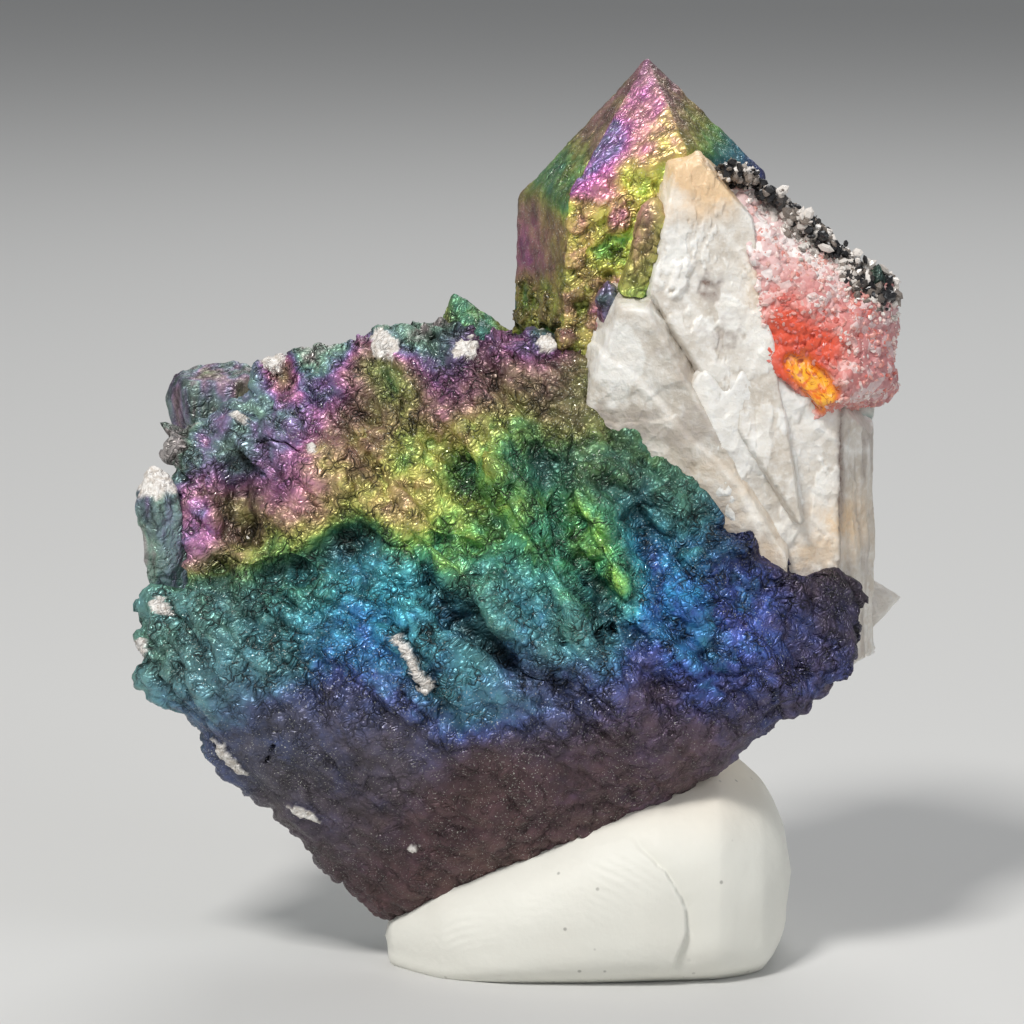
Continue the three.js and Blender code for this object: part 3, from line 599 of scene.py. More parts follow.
# Crust: the curved plate of cracked iron film that fills the front.
crust = {
    "centre": (-1.0, 19.0),
    "keelHeight": 16.8,
    "keelForward": -9.0,
    "keelRound": 3.0,
    "leanBack": 0.5,
    "undercut": 0.45,
    "bow": 0.0125,
    "edgeDepth": 1.7,
    "edgePower": 12,
    "backDepth": 5.0,
    "gridCells": 296,
    "backRings": 9,
    "raggedEdge": 0.22,
    "lumpSize": 3.0,
    "lumpHeight": 0.30,
    "rippleSize": 2.1,
    "rippleHeight": 0.85,
    "wrinkleSize": 1.05,
    "wrinkleHeight": 0.52,
    "pit": (-16.0, 24.9, 0.85, 1.8),  # x, z, half width and half height
    "pitDepth": 0.35,
    "creviceDepth": 0.45,
    "flow": [[0.70, 0.0, 0.70], [0.0, 1.0, 0.0], [0.38, 0.0, -0.38]],  # draws wrinkles out along the folds
    # outline seen from the front, clockwise from the lowest point
    "outline": [
        (-7.5, 2.1), (-9.8, 4.3), (-11.9, 6.4), (-13.3, 8.1), (-14.8, 9.3), (-16.5, 10.8), (-17.6, 12.7),
        (-18.9, 14.2), (-20.6, 14.8), (-21.4, 16.1), (-21.1, 19.2), (-20.4, 20.5), (-18.7, 21.2),
        (-18.9, 23.6),
        (-19.1, 26.1), (-19.7, 28.2), (-19.6, 29.4), (-18.3, 30.1), (-16.8, 30.9), (-15.1, 31.4),
        (-14.0, 33.2),
        (-12.9, 34.2), (-11.5, 34.4), (-10.4, 33.8), (-9.6, 33.8), (-8.7, 34.5), (-8.0, 35.4), (-6.6, 35.7),
        (-4.7, 35.6), (-0.7, 35.2), (2.1, 35.0), (4.1, 34.5), (3.9, 32.5), (5.6, 31.5), (6.6, 30.2),
        (7.1, 28.6), (9.7, 27.1), (11.9, 25.9), (13.9, 24.3), (15.5, 22.3), (17.7, 22.1), (18.7, 20.7),
        (18.4, 18.0), (17.0, 15.8), (13.7, 13.4), (9.8, 11.3), (6.5, 8.9), (2.1, 5.8), (-2.9, 3.5),
    ],
    # crevices, sunk in and painted nearly black with shade: a line of places and its half width
    "crevices": [
        ([(-15.7, 26.8), (-15.4, 25.7), (-15.2, 24.9), (-15.3, 24.2)], 0.22),
        ([(-15.4, 29.3), (-13.8, 29.5), (-12.3, 29.2)], 0.07),
        ([(-13.6, 13.2), (-13.9, 12.6), (-14.0, 12.1)], 0.07),
        ([(-5.5, 35.1), (-4.7, 35.0)], 0.14),
        ([(-14.2, 32.1), (-13.8, 32.5)], 0.18),
        ([(-13.1, 32.7), (-12.9, 32.3)], 0.14),
        ([(-1.9, 25.0), (-1.85, 24.9)], 0.18),
    ],
    # folds: a line of places, half width, and height (below zero is a valley)
    "folds": [
        ([(-17.0, 22.1), (-15.1, 20.7), (-12.5, 19.0)], 1.3, -0.8),
        ([(-18.1, 20.7), (-14.6, 17.7)], 1.2, 0.6),
        ([(-13.5, 22.5), (-10.3, 23.6), (-8.2, 24.7), (-6.0, 24.1), (-4.4, 22.1), (-2.3, 19.6),
          (2.0, 17.0)], 0.9, -1.2),
        ([(-7.4, 23.4), (-5.8, 19.9)], 1.1, 0.7),
        ([(-7.3, 27.2), (-3.9, 23.4), (1.2, 18.5)], 1.3, 1.1),
        ([(-4.4, 29.1), (-2.3, 25.3)], 1.0, -0.8),
        ([(-1.2, 29.1), (2.0, 22.6), (5.5, 17.4)], 1.4, 1.1),
        ([(0.1, 29.1), (3.1, 24.2), (5.0, 19.9)], 0.9, -0.9),
        ([(3.3, 27.5), (5.2, 22.6)], 1.0, 0.7),
        ([(6.3, 25.3), (7.4, 22.1)], 0.8, -0.7),
        ([(6.8, 29.7), (9.0, 25.9)], 1.0, 0.6),
        ([(9.8, 23.6), (12.4, 24.1)], 0.6, 0.9),
        ([(-15.6, 27.3), (-15.3, 24.6)], 1.1, -1.6),
        ([(-12.9, 29.6), (-11.6, 28.2)], 1.2, 0.8),
        ([(-8.3, 28.6), (-7.2, 26.8), (-6.1, 25.5), (-4.4, 24.7), (-2.5, 24.2)], 0.42, -0.75),
        ([(-5.8, 25.3), (-4.2, 25.0), (-2.4, 24.6)], 0.42, 0.5),
        ([(-5.3, 23.1), (-4.2, 20.7), (-2.0, 19.0), (0.4, 17.6)], 0.4, -0.55),
        ([(-6.0, 22.9), (-4.9, 20.7), (-2.8, 18.8)], 0.5, 0.45),
        ([(-0.7, 27.4), (1.7, 24.9), (2.9, 23.4), (3.8, 22.0), (4.6, 19.8)], 0.42, -0.8),
        ([(-1.6, 27.8), (0.8, 25.1), (2.1, 23.0), (3.2, 20.6)], 0.7, 0.5),
        ([(4.4, 22.0), (6.4, 19.2)], 0.4, -0.5),
        ([(-3.9, 28.8), (-2.3, 27.1), (-1.2, 25.1)], 0.4, -0.4),
        ([(-15.4, 23.1), (-12.7, 23.4), (-10.2, 23.0)], 0.5, 0.5),
    ],
    # film zones: x, z, reach, thickness, dullness, how much the thickness varies, brightness
    "zones": [
        (-6.5, 3.5, 4, 0.02, 0.05, 0.04, 0.9), (-1.5, 8, 4, 0.02, 0.05, 0.05, 0.95),
        (4, 11, 4, 0.06, 0.1, 0.05, 0.85), (-10.5, 8.5, 3, 0.1, 0.35, 0.06, 0.8),
        (-13.5, 12, 3, 0.14, 0.55, 0.06, 0.7), (-8, 14, 3, 0.14, 0.45, 0.05, 0.85),
        (-16.5, 15, 3, 0.27, 0.65, 0.06, 0.85), (-19.5, 17, 3, 0.38, 0.55, 0.06, 1.7),
        (-15, 19.5, 3, 0.36, 0.45, 0.05, 0.75), (-11.5, 21, 2.6, 0.31, 0.1, 0.05, 1.5),
        (-7.5, 20.5, 2.6, 0.31, 0.05, 0.05, 1.35), (-9.8, 23.2, 1.8, 0.3, 0.25, 0.07, 1.05),
        (-4, 18.5, 3, 0.33, 0.35, 0.06, 0.8), (1.5, 17.5, 3, 0.27, 0.6, 0.06, 1.1),
        (6.5, 14.5, 3, 0.11, 0.2, 0.04, 1), (10, 19.5, 3, 0.28, 0.15, 0.07, 1),
        (8, 22.5, 2.2, 0.23, 0, 0.06, 0.95), (6, 24.8, 1.6, 0.29, 0.1, 0.05, 0.6),
        (15, 18.5, 3, 0.19, 0.2, 0.06, 1), (17.5, 20.5, 2.4, 0.11, 0.3, 0.05, 0.35),
        (14, 15, 2.5, 0.13, 0.3, 0.06, 0.85), (11.5, 23.8, 2.4, 0.17, 0.2, 0.05, 0.35),
        (9, 26, 2.2, 0.39, 0.35, 0.05, 0.6), (5.5, 28.6, 2.6, 0.41, 0.35, 0.06, 0.6),
        (3.5, 31.8, 2.6, 0.57, 0.45, 0.06, 0.6), (0, 33.2, 2.4, 0.68, 0.4, 0.06, 0.8),
        (-4, 33, 2.6, 0.8, 0.55, 0.119, 0.8), (-9.5, 31, 2.4, 0.71, 0.43, 0.136, 1.2),
        (-12.8, 30.6, 2, 0.84, 0.58, 0.136, 1.35), (-16.8, 28.5, 2.4, 0.84, 0.6, 0.153, 1.8),
        (-16.8, 24.8, 2.2, 0.71, 0.43, 0.136, 1.4), (-12.5, 26.6, 1.8, 0.7, 0.33, 0.08, 1.8),
        (-9.8, 27.6, 2.6, 0.53, 0.23, 0.07, 1.35), (-5, 28.8, 2.8, 0.54, 0.1, 0.09, 0.95),
        (-0.8, 28.6, 2.4, 0.42, 0.15, 0.07, 0.65), (-6.2, 26.2, 1.6, 0.57, 0.23, 0.06, 1),
        (-12.5, 24.3, 2.2, 0.61, 0.25, 0.07, 1.3), (-3, 25.2, 2.2, 0.48, 0.05, 0.08, 1.2),
        (1.2, 24, 2, 0.39, 0.1, 0.06, 1.1), (4.6, 23.6, 2, 0.52, 0.05, 0.07, 1.6),
        (-1.5, 21.5, 2.2, 0.35, 0.3, 0.05, 0.75), (3, 20.5, 2, 0.34, 0.3, 0.06, 0.8),
        (-12, 33.5, 1.6, 0.93, 0.38, 0.1, 1.1), (-6, 35, 1.6, 0.95, 0.38, 0.08, 1.3),
        (1, 34.8, 1.4, 0.9, 0.3, 0.08, 1), (-14.5, 31.8, 1.4, 0.9, 0.48, 0.1, 1.8),
        (-19.2, 28.8, 1.4, 0.94, 0.48, 0.08, 1.5), (-9, 29.2, 1.2, 0.6, 0.18, 0.06, 0.8),
        (-6.4, 31.2, 1.6, 0.5, 0.33, 0.1, 1.3), (-11.4, 31.8, 1, 0.74, 0.18, 0.05, 0.9),
        (-18.6, 24, 1.2, 0.8, 0.5, 0.1, 1.9), (3.2, 25, 1.1, 0.5, 0.05, 0.05, 1.5),
        (4.2, 24, 1.1, 0.54, 0.05, 0.05, 1.7), (5.2, 22.6, 1.1, 0.5, 0.05, 0.05, 1.4),
        (7, 23.8, 1, 0.27, 0, 0.04, 1.5), (8.6, 21.6, 1.2, 0.25, 0, 0.05, 1.3),
        (12.6, 21.4, 1.3, 0.21, 0.1, 0.05, 1.1), (-2, 31, 1.6, 0.6, 0.3, 0.08, 0.9),
        (-7.5, 32.6, 1.4, 0.4, 0.53, 0.08, 0.9), (-14, 28, 1.6, 0.86, 0.6, 0.08, 1.5),
        (-15.8, 25, 0.9, 0.47, 0.28, 0.05, 1), (-13.2, 32.6, 1, 0.43, 0.18, 0.05, 1),
    ],
    # bare chips: x, z, half length, half width, turn in degrees
    "chips": [
        (-7.7, 34.4, 0.85, 0.55, -10), (-2.9, 34.3, 0.75, 0.5, 25), (1.3, 34.7, 0.5, 0.4, 0),
        (-15.6, 30.5, 0.35, 0.25, 0), (-13.9, 33.2, 0.7, 0.4, 60), (-11.5, 29.2, 0.3, 0.3, 0),
        (-20.0, 20.3, 0.5, 0.35, 20), (-21.1, 18.0, 0.5, 0.3, 80), (-6.5, 19.0, 0.75, 0.18, -55),
        (-6.0, 18.2, 0.7, 0.32, -55), (-5.5, 17.4, 0.70, 0.50, -58), (-12.1, 9.0, 0.7, 0.25, -25),
        (-6.0, 7.2, 0.45, 0.25, 0), (-16.2, 12.0, 1.1, 0.35, -50),
    ],
}


def foldHeight(x, z):
    # each fold is a bell across its line
    total = np.zeros(np.shape(x))
    for line, width, height in crust["folds"]:
        total += height * np.exp(-((lineDistance(x, z, line) / width) ** 2))
    return total


def crustFrontY(x, z):
    # the front leans back above the keel and below it, bows back to both sides, and folds stand out of it
    u = z - crust["keelHeight"]
    ramp = np.hypot(u, crust["keelRound"])
    lean = crust["leanBack"] * (u + ramp) / 2 + crust["undercut"] * (ramp - u) / 2
    return crust["keelForward"] + lean + crust["bow"] * (x - crust["centre"][0]) ** 2 - foldHeight(x, z)


def outlineReach(angle):
    # distance from the crust's centre to its outline, straight between the outline's points
    outline = np.array(crust["outline"]) - crust["centre"]
    turns = np.arctan2(outline[:, 1], outline[:, 0]) % (2 * np.pi)
    order = np.argsort(turns)
    return np.interp(angle % (2 * np.pi), turns[order], np.hypot(*outline.T)[order], period=2 * np.pi)


def squareToDisc(cells):
    # a square grid bent into a disc: returns each corner's share of the radius and its angle
    line = np.linspace(-1, 1, cells + 1)
    a, b = np.meshgrid(line, line, indexing="ij")
    a = np.where(np.abs(a) < 1e-9, 1e-9, a)
    wide = np.abs(a) >= np.abs(b)
    safeB = np.where(np.abs(b) < 1e-9, 1e-9, b)
    share = np.where(wide, a, b)
    angle = np.where(wide, (np.pi / 4) * b / a, np.pi / 2 - (np.pi / 4) * a / safeB)
    return np.abs(share), angle + np.where(share < 0, np.pi, 0)


def crustPoint(share, angle, depth):
    # a place on the plate: share of the outline's reach, and depth behind the front face
    ragged = 1 + crust["raggedEdge"] * share**4 * edgeNoise(angle) / 18
    reach = share * outlineReach(angle) * ragged
    x = crust["centre"][0] + reach * np.cos(angle)
    z = crust["centre"][1] + reach * np.sin(angle)
    return np.stack([x, crustFrontY(x, z) + depth, z], -1)


def edgeNoise(angle):
    # rough edge: noise read along a circle
    flat = np.stack([22 * np.cos(angle), 22 * np.sin(angle), np.zeros_like(angle)], -1).reshape(-1, 3)
    return layeredNoise(flat, 1.6, 5, 4, 0.7).reshape(angle.shape)


def wrinkledFilm(points, size, height, seed):
    # domed plates at slightly different levels, creased between; returns height, seam depth and plate level
    bend = np.stack([layeredNoise(points, 1.5 * size, seed + k, 3) for k in range(3)], 1) * 0.34 * size
    nearest, second, level = cellPattern(points + bend, size, seed + 7)
    patch = smoothStep(-0.4, 0.4, layeredNoise(points, 2.4 * size, seed + 23, 2))
    seam = np.exp(-(((second - nearest) / 0.15) ** 2)) * patch
    rough = layeredNoise(points + bend, 0.9 * size, seed + 9, 3, 0.6)
    level = level - 0.5
    return height * (0.5 * level - 0.5 * nearest**2 - 0.45 * seam + 0.42 * rough), seam, level


def creviceDepth(x, z):
    # how far each place lies in a crevice: a bell across its line
    deep = np.zeros(np.shape(x))
    for line, width in crust["crevices"]:
        deep = np.maximum(deep, np.exp(-((lineDistance(x, z, line) / width) ** 2)))
    return deep


def chipMask(x, z, wobble):
    # bare chips are ellipses with a ragged rim
    mask = np.zeros(np.shape(x))
    for cx, cz, length, width, turn in crust["chips"]:
        c, s = math.cos(math.radians(turn)), math.sin(math.radians(turn))
        u = ((x - cx) * c + (z - cz) * s) / length
        v = ((z - cz) * c - (x - cx) * s) / width
        mask = np.maximum(mask, 1 - smoothStep(0.9, 1.05, np.hypot(u, v) + 0.55 * wobble))
    return mask


def gridNormals(points):
    # the cross product of the two directions along the grid
    along = np.gradient(points, axis=0)
    across = np.gradient(points, axis=1)
    normal = np.cross(along, across)
    return normal / np.maximum(np.linalg.norm(normal, axis=-1, keepdims=True), 1e-12)


def makeCrust(material):
    # front: a square grid bent into the outline and rolled over at the rim, raised by plates and ripples
    n = crust["gridCells"]
    share, angle = squareToDisc(n)
    share = 1 - (1 - share) ** 1.2
    roll = np.sqrt(np.maximum(0, 1 - share ** crust["edgePower"]))
    base = crustPoint(share, angle, crust["edgeDepth"] * (1 - roll))
    normal = gridNormals(base)
    if normal[n // 2, n // 2, 1] > 0:
        normal = -normal
    flat = base.reshape(-1, 3)
    x, z = flat[:, 0], flat[:, 2]
    drawn = flat @ np.array(crust["flow"]).T
    relief, seam, tone = wrinkledFilm(drawn, crust["wrinkleSize"], crust["wrinkleHeight"], 31)
    # calm below the keel and at the soft upper right
    below = smoothStep(12.5, 17.5, z)
    blurred = smoothStep(-1.0, 4.0, x) * smoothStep(25.0, 29.0, z)
    calm = 0.45 + 0.55 * below - 0.35 * blurred
    ripples = creasedNoise(drawn * np.array([1.0, 0.5, 0.5]), crust["rippleSize"], 41, 2) - 0.6
    ripples = ripples * (0.25 + 0.75 * below) * (1 - 0.4 * blurred)
    height = relief * calm + crust["rippleHeight"] * ripples
    height += crust["lumpHeight"] * layeredNoise(drawn, crust["lumpSize"], 3, 2)
    wobble = layeredNoise(flat, 0.7, 61, 3, 0.7)
    bare = chipMask(x, z, wobble)
    height = height * (1 - 0.6 * bare) + 0.10 * bare * (1 + wobble)
    crevice = creviceDepth(x + 0.12 * wobble, z + 0.12 * wobble)
    crevice = crevice * smoothStep(-0.6, 0.0, layeredNoise(flat, 0.5, 63, 2))
    pit = spot(x, z, crust["pit"], 0.2 * wobble, 0.6, 1.15)
    height = height - crust["creviceDepth"] * crevice - crust["pitDepth"] * pit
    front = (base + normal * height.reshape(n + 1, n + 1, 1)).reshape(-1, 3)
    # back: rings from the rim to one middle point
    index = np.arange((n + 1) ** 2).reshape(n + 1, n + 1)
    rim = np.concatenate([index[:-1, 0], index[-1, :-1], index[:0:-1, -1], index[0, :0:-1]])
    rimAngle = angle.reshape(-1)[rim]
    rings = []
    for k in range(1, crust["backRings"]):
        ringShare = 1 - (k / crust["backRings"]) ** 1.4
        depth = crust["edgeDepth"] + crust["backDepth"] * math.sqrt(1 - ringShare**2)
        rings.append(crustPoint(np.full(len(rim), ringShare), rimAngle, depth))
    middle = crustPoint(np.zeros(1), np.zeros(1), crust["edgeDepth"] + crust["backDepth"])
    points = np.concatenate([front, *rings, middle])
    quads = np.stack([index[:-1, :-1], index[1:, :-1], index[1:, 1:], index[:-1, 1:]], -1).reshape(-1, 4)
    ringIndex = [rim] + [(n + 1) ** 2 + k * len(rim) + np.arange(len(rim)) for k in range(len(rings))]
    for inner, outer in zip(ringIndex[:-1], ringIndex[1:]):
        quads = np.concatenate([quads, np.stack([outer, np.roll(outer, -1), np.roll(inner, -1), inner], -1)])
    last = ringIndex[-1]
    middleIndex = np.full(len(last), len(points) - 1)
    fan = np.stack([middleIndex, np.roll(last, -1), last], -1)
    # the rim runs one way round or the other, so the back's faces are matched to the front's
    faces = matchedFaces(points, quads[: n * n], quads[n * n :], fan)
    x, z = points[:, 0], points[:, 2]
    film, dull, vary, bright = (zoneValue(x, z, crust["zones"], column) for column in (3, 4, 5, 6))
    extra = np.zeros(len(points) - len(front))
    fold = foldHeight(x, z)
    patches = layeredNoise(points, 2.2, 71, 4, 0.6)
    plates = np.concatenate([tone, extra])
    film = film + 0.02 * np.clip(fold, -1, 1) + vary * (0.6 * patches + 0.4 * plates)
    # painted light and shade: brighter on folds and ripples, darker in valleys, seams and crevices
    lit = 1 + 0.18 * layeredNoise(points, 1.1, 81, 3, 0.6) + 0.45 * np.concatenate([ripples, extra])
    lit = lit + 0.25 * smoothStep(0.1, 0.9, fold) - 0.50 * smoothStep(0.1, 1.1, -fold)
    sunk = 0.45 * seam * calm
    shade = (1 - np.concatenate([np.maximum(sunk, 0.97 * crevice), extra])) * lit * bright
    addPiece("crust", points, faces, material, {
        "film": film,
        "dull": dull,
        "shade": shade,
        "bare": np.concatenate([bare, extra]),
        "glint": 0.5 + 0.5 * layeredNoise(points, 3.0, 91, 2),
        "crisp": np.concatenate([calm, extra + 0.5]),
    }, replaced="quartz_cluster")


def matchedFaces(points, front, back, fan):
    # each part's faces are turned so that the front faces forward and the back faces backward
    def facing(faces):
        a, b, c = points[faces[:, 0]], points[faces[:, 1]], points[faces[:, 2]]
        return np.cross(b - a, c - a)[:, 1].sum()
    front = front if facing(front) < 0 else front[:, ::-1]
    back = back if facing(back) > 0 else back[:, ::-1]
    fan = fan if facing(fan) > 0 else fan[:, ::-1]
    return front.tolist() + back.tolist() + fan.tolist()


def cubeDirections(cells, stretch):
    # a cube's six gridded sides blown out to a ball, then drawn out by the stretch; shared corners are joined
    line = np.tan(np.linspace(-1, 1, cells + 1) * np.pi / 4)
    a, b = [v.reshape(-1) for v in np.meshgrid(line, line, indexing="ij")]
    one = np.ones_like(a)
    sides = [(one, a, b), (-one, b, a), (b, one, a), (a, -one, b), (a, b, one), (b, a, -one)]
    points = np.concatenate([np.stack(side, 1) for side in sides])
    index = np.arange((cells + 1) ** 2).reshape(cells + 1, cells + 1)
    quad = np.stack([index[:-1, :-1], index[1:, :-1], index[1:, 1:], index[:-1, 1:]], -1).reshape(-1, 4)
    quads = np.concatenate([quad + k * (cells + 1) ** 2 for k in range(6)])
    _, first, inverse = np.unique(np.round(points, 6), axis=0, return_index=True, return_inverse=True)
    points = points[first] * np.array(stretch)
    return points / np.linalg.norm(points, axis=1, keepdims=True), inverse.reshape(-1)[quads]


def facetedSurface(spec):
    # along each direction from the centre, the distance to the nearest facet, blended softly at the edges;
    # returns the points, the way each faces, the facet each is on, and the faces
    centre, soft = np.array(spec["centre"], float), spec["soft"]
    places, normals = (np.array([facet[k] for facet in spec["facets"]], float) for k in (0, 1))
    normals /= np.linalg.norm(normals, axis=1, keepdims=True)
    reach = np.einsum("ij,ij->i", normals, places - centre)
    directions, faces = cubeDirections(spec["cells"], spec["stretch"])
    along = directions @ normals.T
    distance = np.where(along > 1e-3, reach / np.maximum(along, 1e-3), 1e3)
    nearest = distance.min(1, keepdims=True)
    weight = np.exp(-(distance - nearest) / soft)
    radius = nearest[:, 0] - soft * np.log(weight.sum(1))
    outward = weight @ normals
    outward /= np.linalg.norm(outward, axis=1, keepdims=True)
    return centre + directions * radius[:, None], outward, distance.argmin(1), faces


def crystalFacets(spec):
    # six sides, six termination faces that meet at the tip, and a foot
    foot, shoulder, tip = (np.array(spec[k], float) for k in ("foot", "shoulder", "tip"))
    axis = (shoulder - foot) / np.linalg.norm(shoulder - foot)
    side = np.array([0.0, -1.0, 0.0]) + axis * axis[1]
    side /= np.linalg.norm(side)
    other = np.cross(axis, side)
    turns = np.radians(spec["twist"] + 60 * np.arange(7))
    spokes = np.cos(turns)[:, None] * side + np.sin(turns)[:, None] * other
    lifts = spec.get("lifts", (0,) * 6)
    lifts = np.array([*lifts, lifts[0]])
    reach = spec.get("reach", (spec["radius"],) * 6)
    reach = np.array([*reach, reach[0]])
    corners = shoulder + reach[:, None] * spokes + lifts[:, None] * axis
    facets = []
    for i in range(6):
        normal = np.cross(axis, corners[i + 1] - corners[i])
        facets.append((corners[i], normal if normal @ spokes[i] > 0 else -normal))
    for i in range(6):
        normal = np.cross(corners[i + 1] - corners[i], tip - corners[i])
        facets.append((tip, normal if normal @ axis > 0 else -normal))
    facets.append((foot, -axis))
    return facets + list(spec.get("cuts", []))


# Crystals: foot and shoulder of the prism, the tip, the reach of the six corners, and how each one lifts.
crystals = {
    "main": {"foot": (5.4, 6.2, 24.0), "shoulder": (6.2, 6.2, 43.3), "tip": (6.9, 5.6, 49.8), "radius": 6.4,
            "reach": (6.4, 7.4, 6.4, 6.4, 6.4, 6.4), "twist": 25, "lifts": (2.2, 0.4, 0.2, -0.6, -1.6, -0.8),
            "cells": 124, "soft": 0.09,
            # x, z, size and depth of each pit, and the raised block's x, z and half widths
            "pits": ((5.1, 39.4, 0.32, 0.45), (4.7, 38.3, 0.25, 0.4), (3.2, 36.6, 0.5, 0.5),
                     (5.2, 36.8, 0.5, 0.5)),
            "raised": (5.3, 41.3, 0.75, 0.85), "raisedHeight": 0.30,
            "skin": (0.55, 0.10), "blocks": (0.95, 0.55), "ledge": 0.16,
            # which facets each side of the picture shows, and how bright each is painted: the left and right
            # sides get painted shade
            "sides": {"left": ((4, 10), 0.68), "front": ((5, 11), 1.0), "right": ((0, 6), 0.62)}},
    "capsule": {"foot": (6.0, -0.5, 37.4), "shoulder": (7.2, -0.7, 42.0), "tip": (7.4, -0.7, 43.0),
            "radius": 0.9, "twist": 10, "cells": 52, "soft": 0.07},
    "edgePoint": {"foot": (-2.4, 3.6, 31.0), "shoulder": (-2.6, 3.5, 34.9), "tip": (-3.8, 3.4, 37.0),
            "radius": 2.1, "twist": 12, "lifts": (0.2, 0, -0.2, 0, 0.1, 0), "cells": 52, "soft": 0.05},
    "sidePoint": {"foot": (13.5, 6.6, 18.4), "shoulder": (19.6, 7.0, 18.8), "tip": (21.6, 7.1, 19.1),
            "radius": 1.6, "twist": 20, "lifts": (0.2, 0, 0, 0.3, 0, 0), "cells": 52, "soft": 0.08},
    "leftStub": {"foot": (-19.1, 1.4, 19.0), "shoulder": (-20.1, 0.5, 26.2), "tip": (-20.3, 0.3, 28.4),
            "radius": 1.4, "twist": 0, "cells": 60, "soft": 0.07,
            "cuts": [((-20.3, 0.4, 27.6), (0.5, -0.5, 0.8))]},
    "backBlock": {"foot": (-14.5, 6.5, 20.0), "shoulder": (-17.3, 8.2, 31.2), "tip": (-17.8, 8.5, 35.0),
            "radius": 3.0, "twist": 28, "cells": 60, "soft": 0.10,
            "cuts": [((-17.4, 8.2, 31.8), (-0.05, -0.1, 1.0))]},
    "greyChip": {"foot": (4.9, 0.4, 36.0), "shoulder": (4.6, -0.4, 37.5), "tip": (4.6, -0.6, 38.4),
            "radius": 0.8, "twist": 25, "lifts": (0.2, -0.1, 0.1, 0, -0.2, 0.1), "cells": 30, "soft": 0.10},
    "darkGrain": {"foot": (18.9, 1.0, 36.6), "shoulder": (19.4, 0.5, 38.3), "tip": (19.5, 0.4, 39.1),
            "radius": 0.6, "twist": 15, "lifts": (0.1, -0.1, 0.1, 0, -0.1, 0.1), "cells": 30, "soft": 0.05},
}

# Film on the pointed crystal, face by face: x, z, reach, thickness, dullness.
mainZones = {
    "left": [(-0.2, 43.0, 1.6, 0.40, 0.45), (2.0, 44.5, 1.6, 0.50, 0.40), (3.5, 46.5, 1.6, 0.64, 0.35),
             (5.6, 49.0, 1.6, 0.66, 0.35), (-0.2, 41.6, 1.2, 0.74, 0.25), (0.2, 39.0, 1.4, 0.72, 0.15),
             (1.6, 40.0, 1.2, 0.60, 0.1), (2.2, 37.4, 1.2, 0.55, 0.1), (0.5, 36.4, 1.2, 0.55, 0.1)],
    "front": [(6.6, 49.5, 1.0, 0.70, 0.50), (5.6, 47.6, 1.0, 0.68, 0.2), (6.6, 47.0, 0.9, 0.71, 0.2),
              (5.0, 45.6, 0.8, 0.79, 0.35), (3.4, 44.0, 0.8, 0.78, 0.35), (4.2, 43.2, 0.8, 0.70, 0.0),
              (6.8, 45.4, 0.9, 0.68, 0.0), (8.2, 45.8, 1.0, 0.60, 0.0), (7.2, 43.6, 1.2, 0.54, 0.0),
              (5.0, 41.8, 1.2, 0.57, 0.0), (6.2, 40.0, 1.3, 0.53, 0.0), (3.8, 40.2, 1.2, 0.58, 0.0),
              (4.6, 38.4, 1.2, 0.54, 0.05), (5.4, 41.6, 0.55, 0.70, 0.1), (3.6, 37.2, 1.2, 0.58, 0.1),
              (5.2, 36.8, 1.0, 0.82, 0.2)],
    "right": [(7.6, 49.0, 1.2, 0.68, 0.45), (8.4, 47.6, 1.0, 0.66, 0.3), (9.4, 46.6, 1.0, 0.58, 0.2),
              (10.6, 45.6, 1.0, 0.50, 0.2), (11.6, 44.6, 1.0, 0.34, 0.3), (12.6, 43.8, 1.2, 0.20, 0.3)],
}


def crystalSurface(spec):
    # a crystal's surface, seen from its middle and drawn out along its axis
    foot, tip = np.array(spec["foot"], float), np.array(spec["tip"], float)
    axis = np.abs(tip - foot) / np.linalg.norm(tip - foot)
    stretch = 1 + axis * (np.linalg.norm(tip - foot) / (2 * spec["radius"]) - 1)
    spec = {**spec, "centre": (foot + tip) / 2, "facets": crystalFacets(spec), "stretch": stretch}
    return facetedSurface(spec)


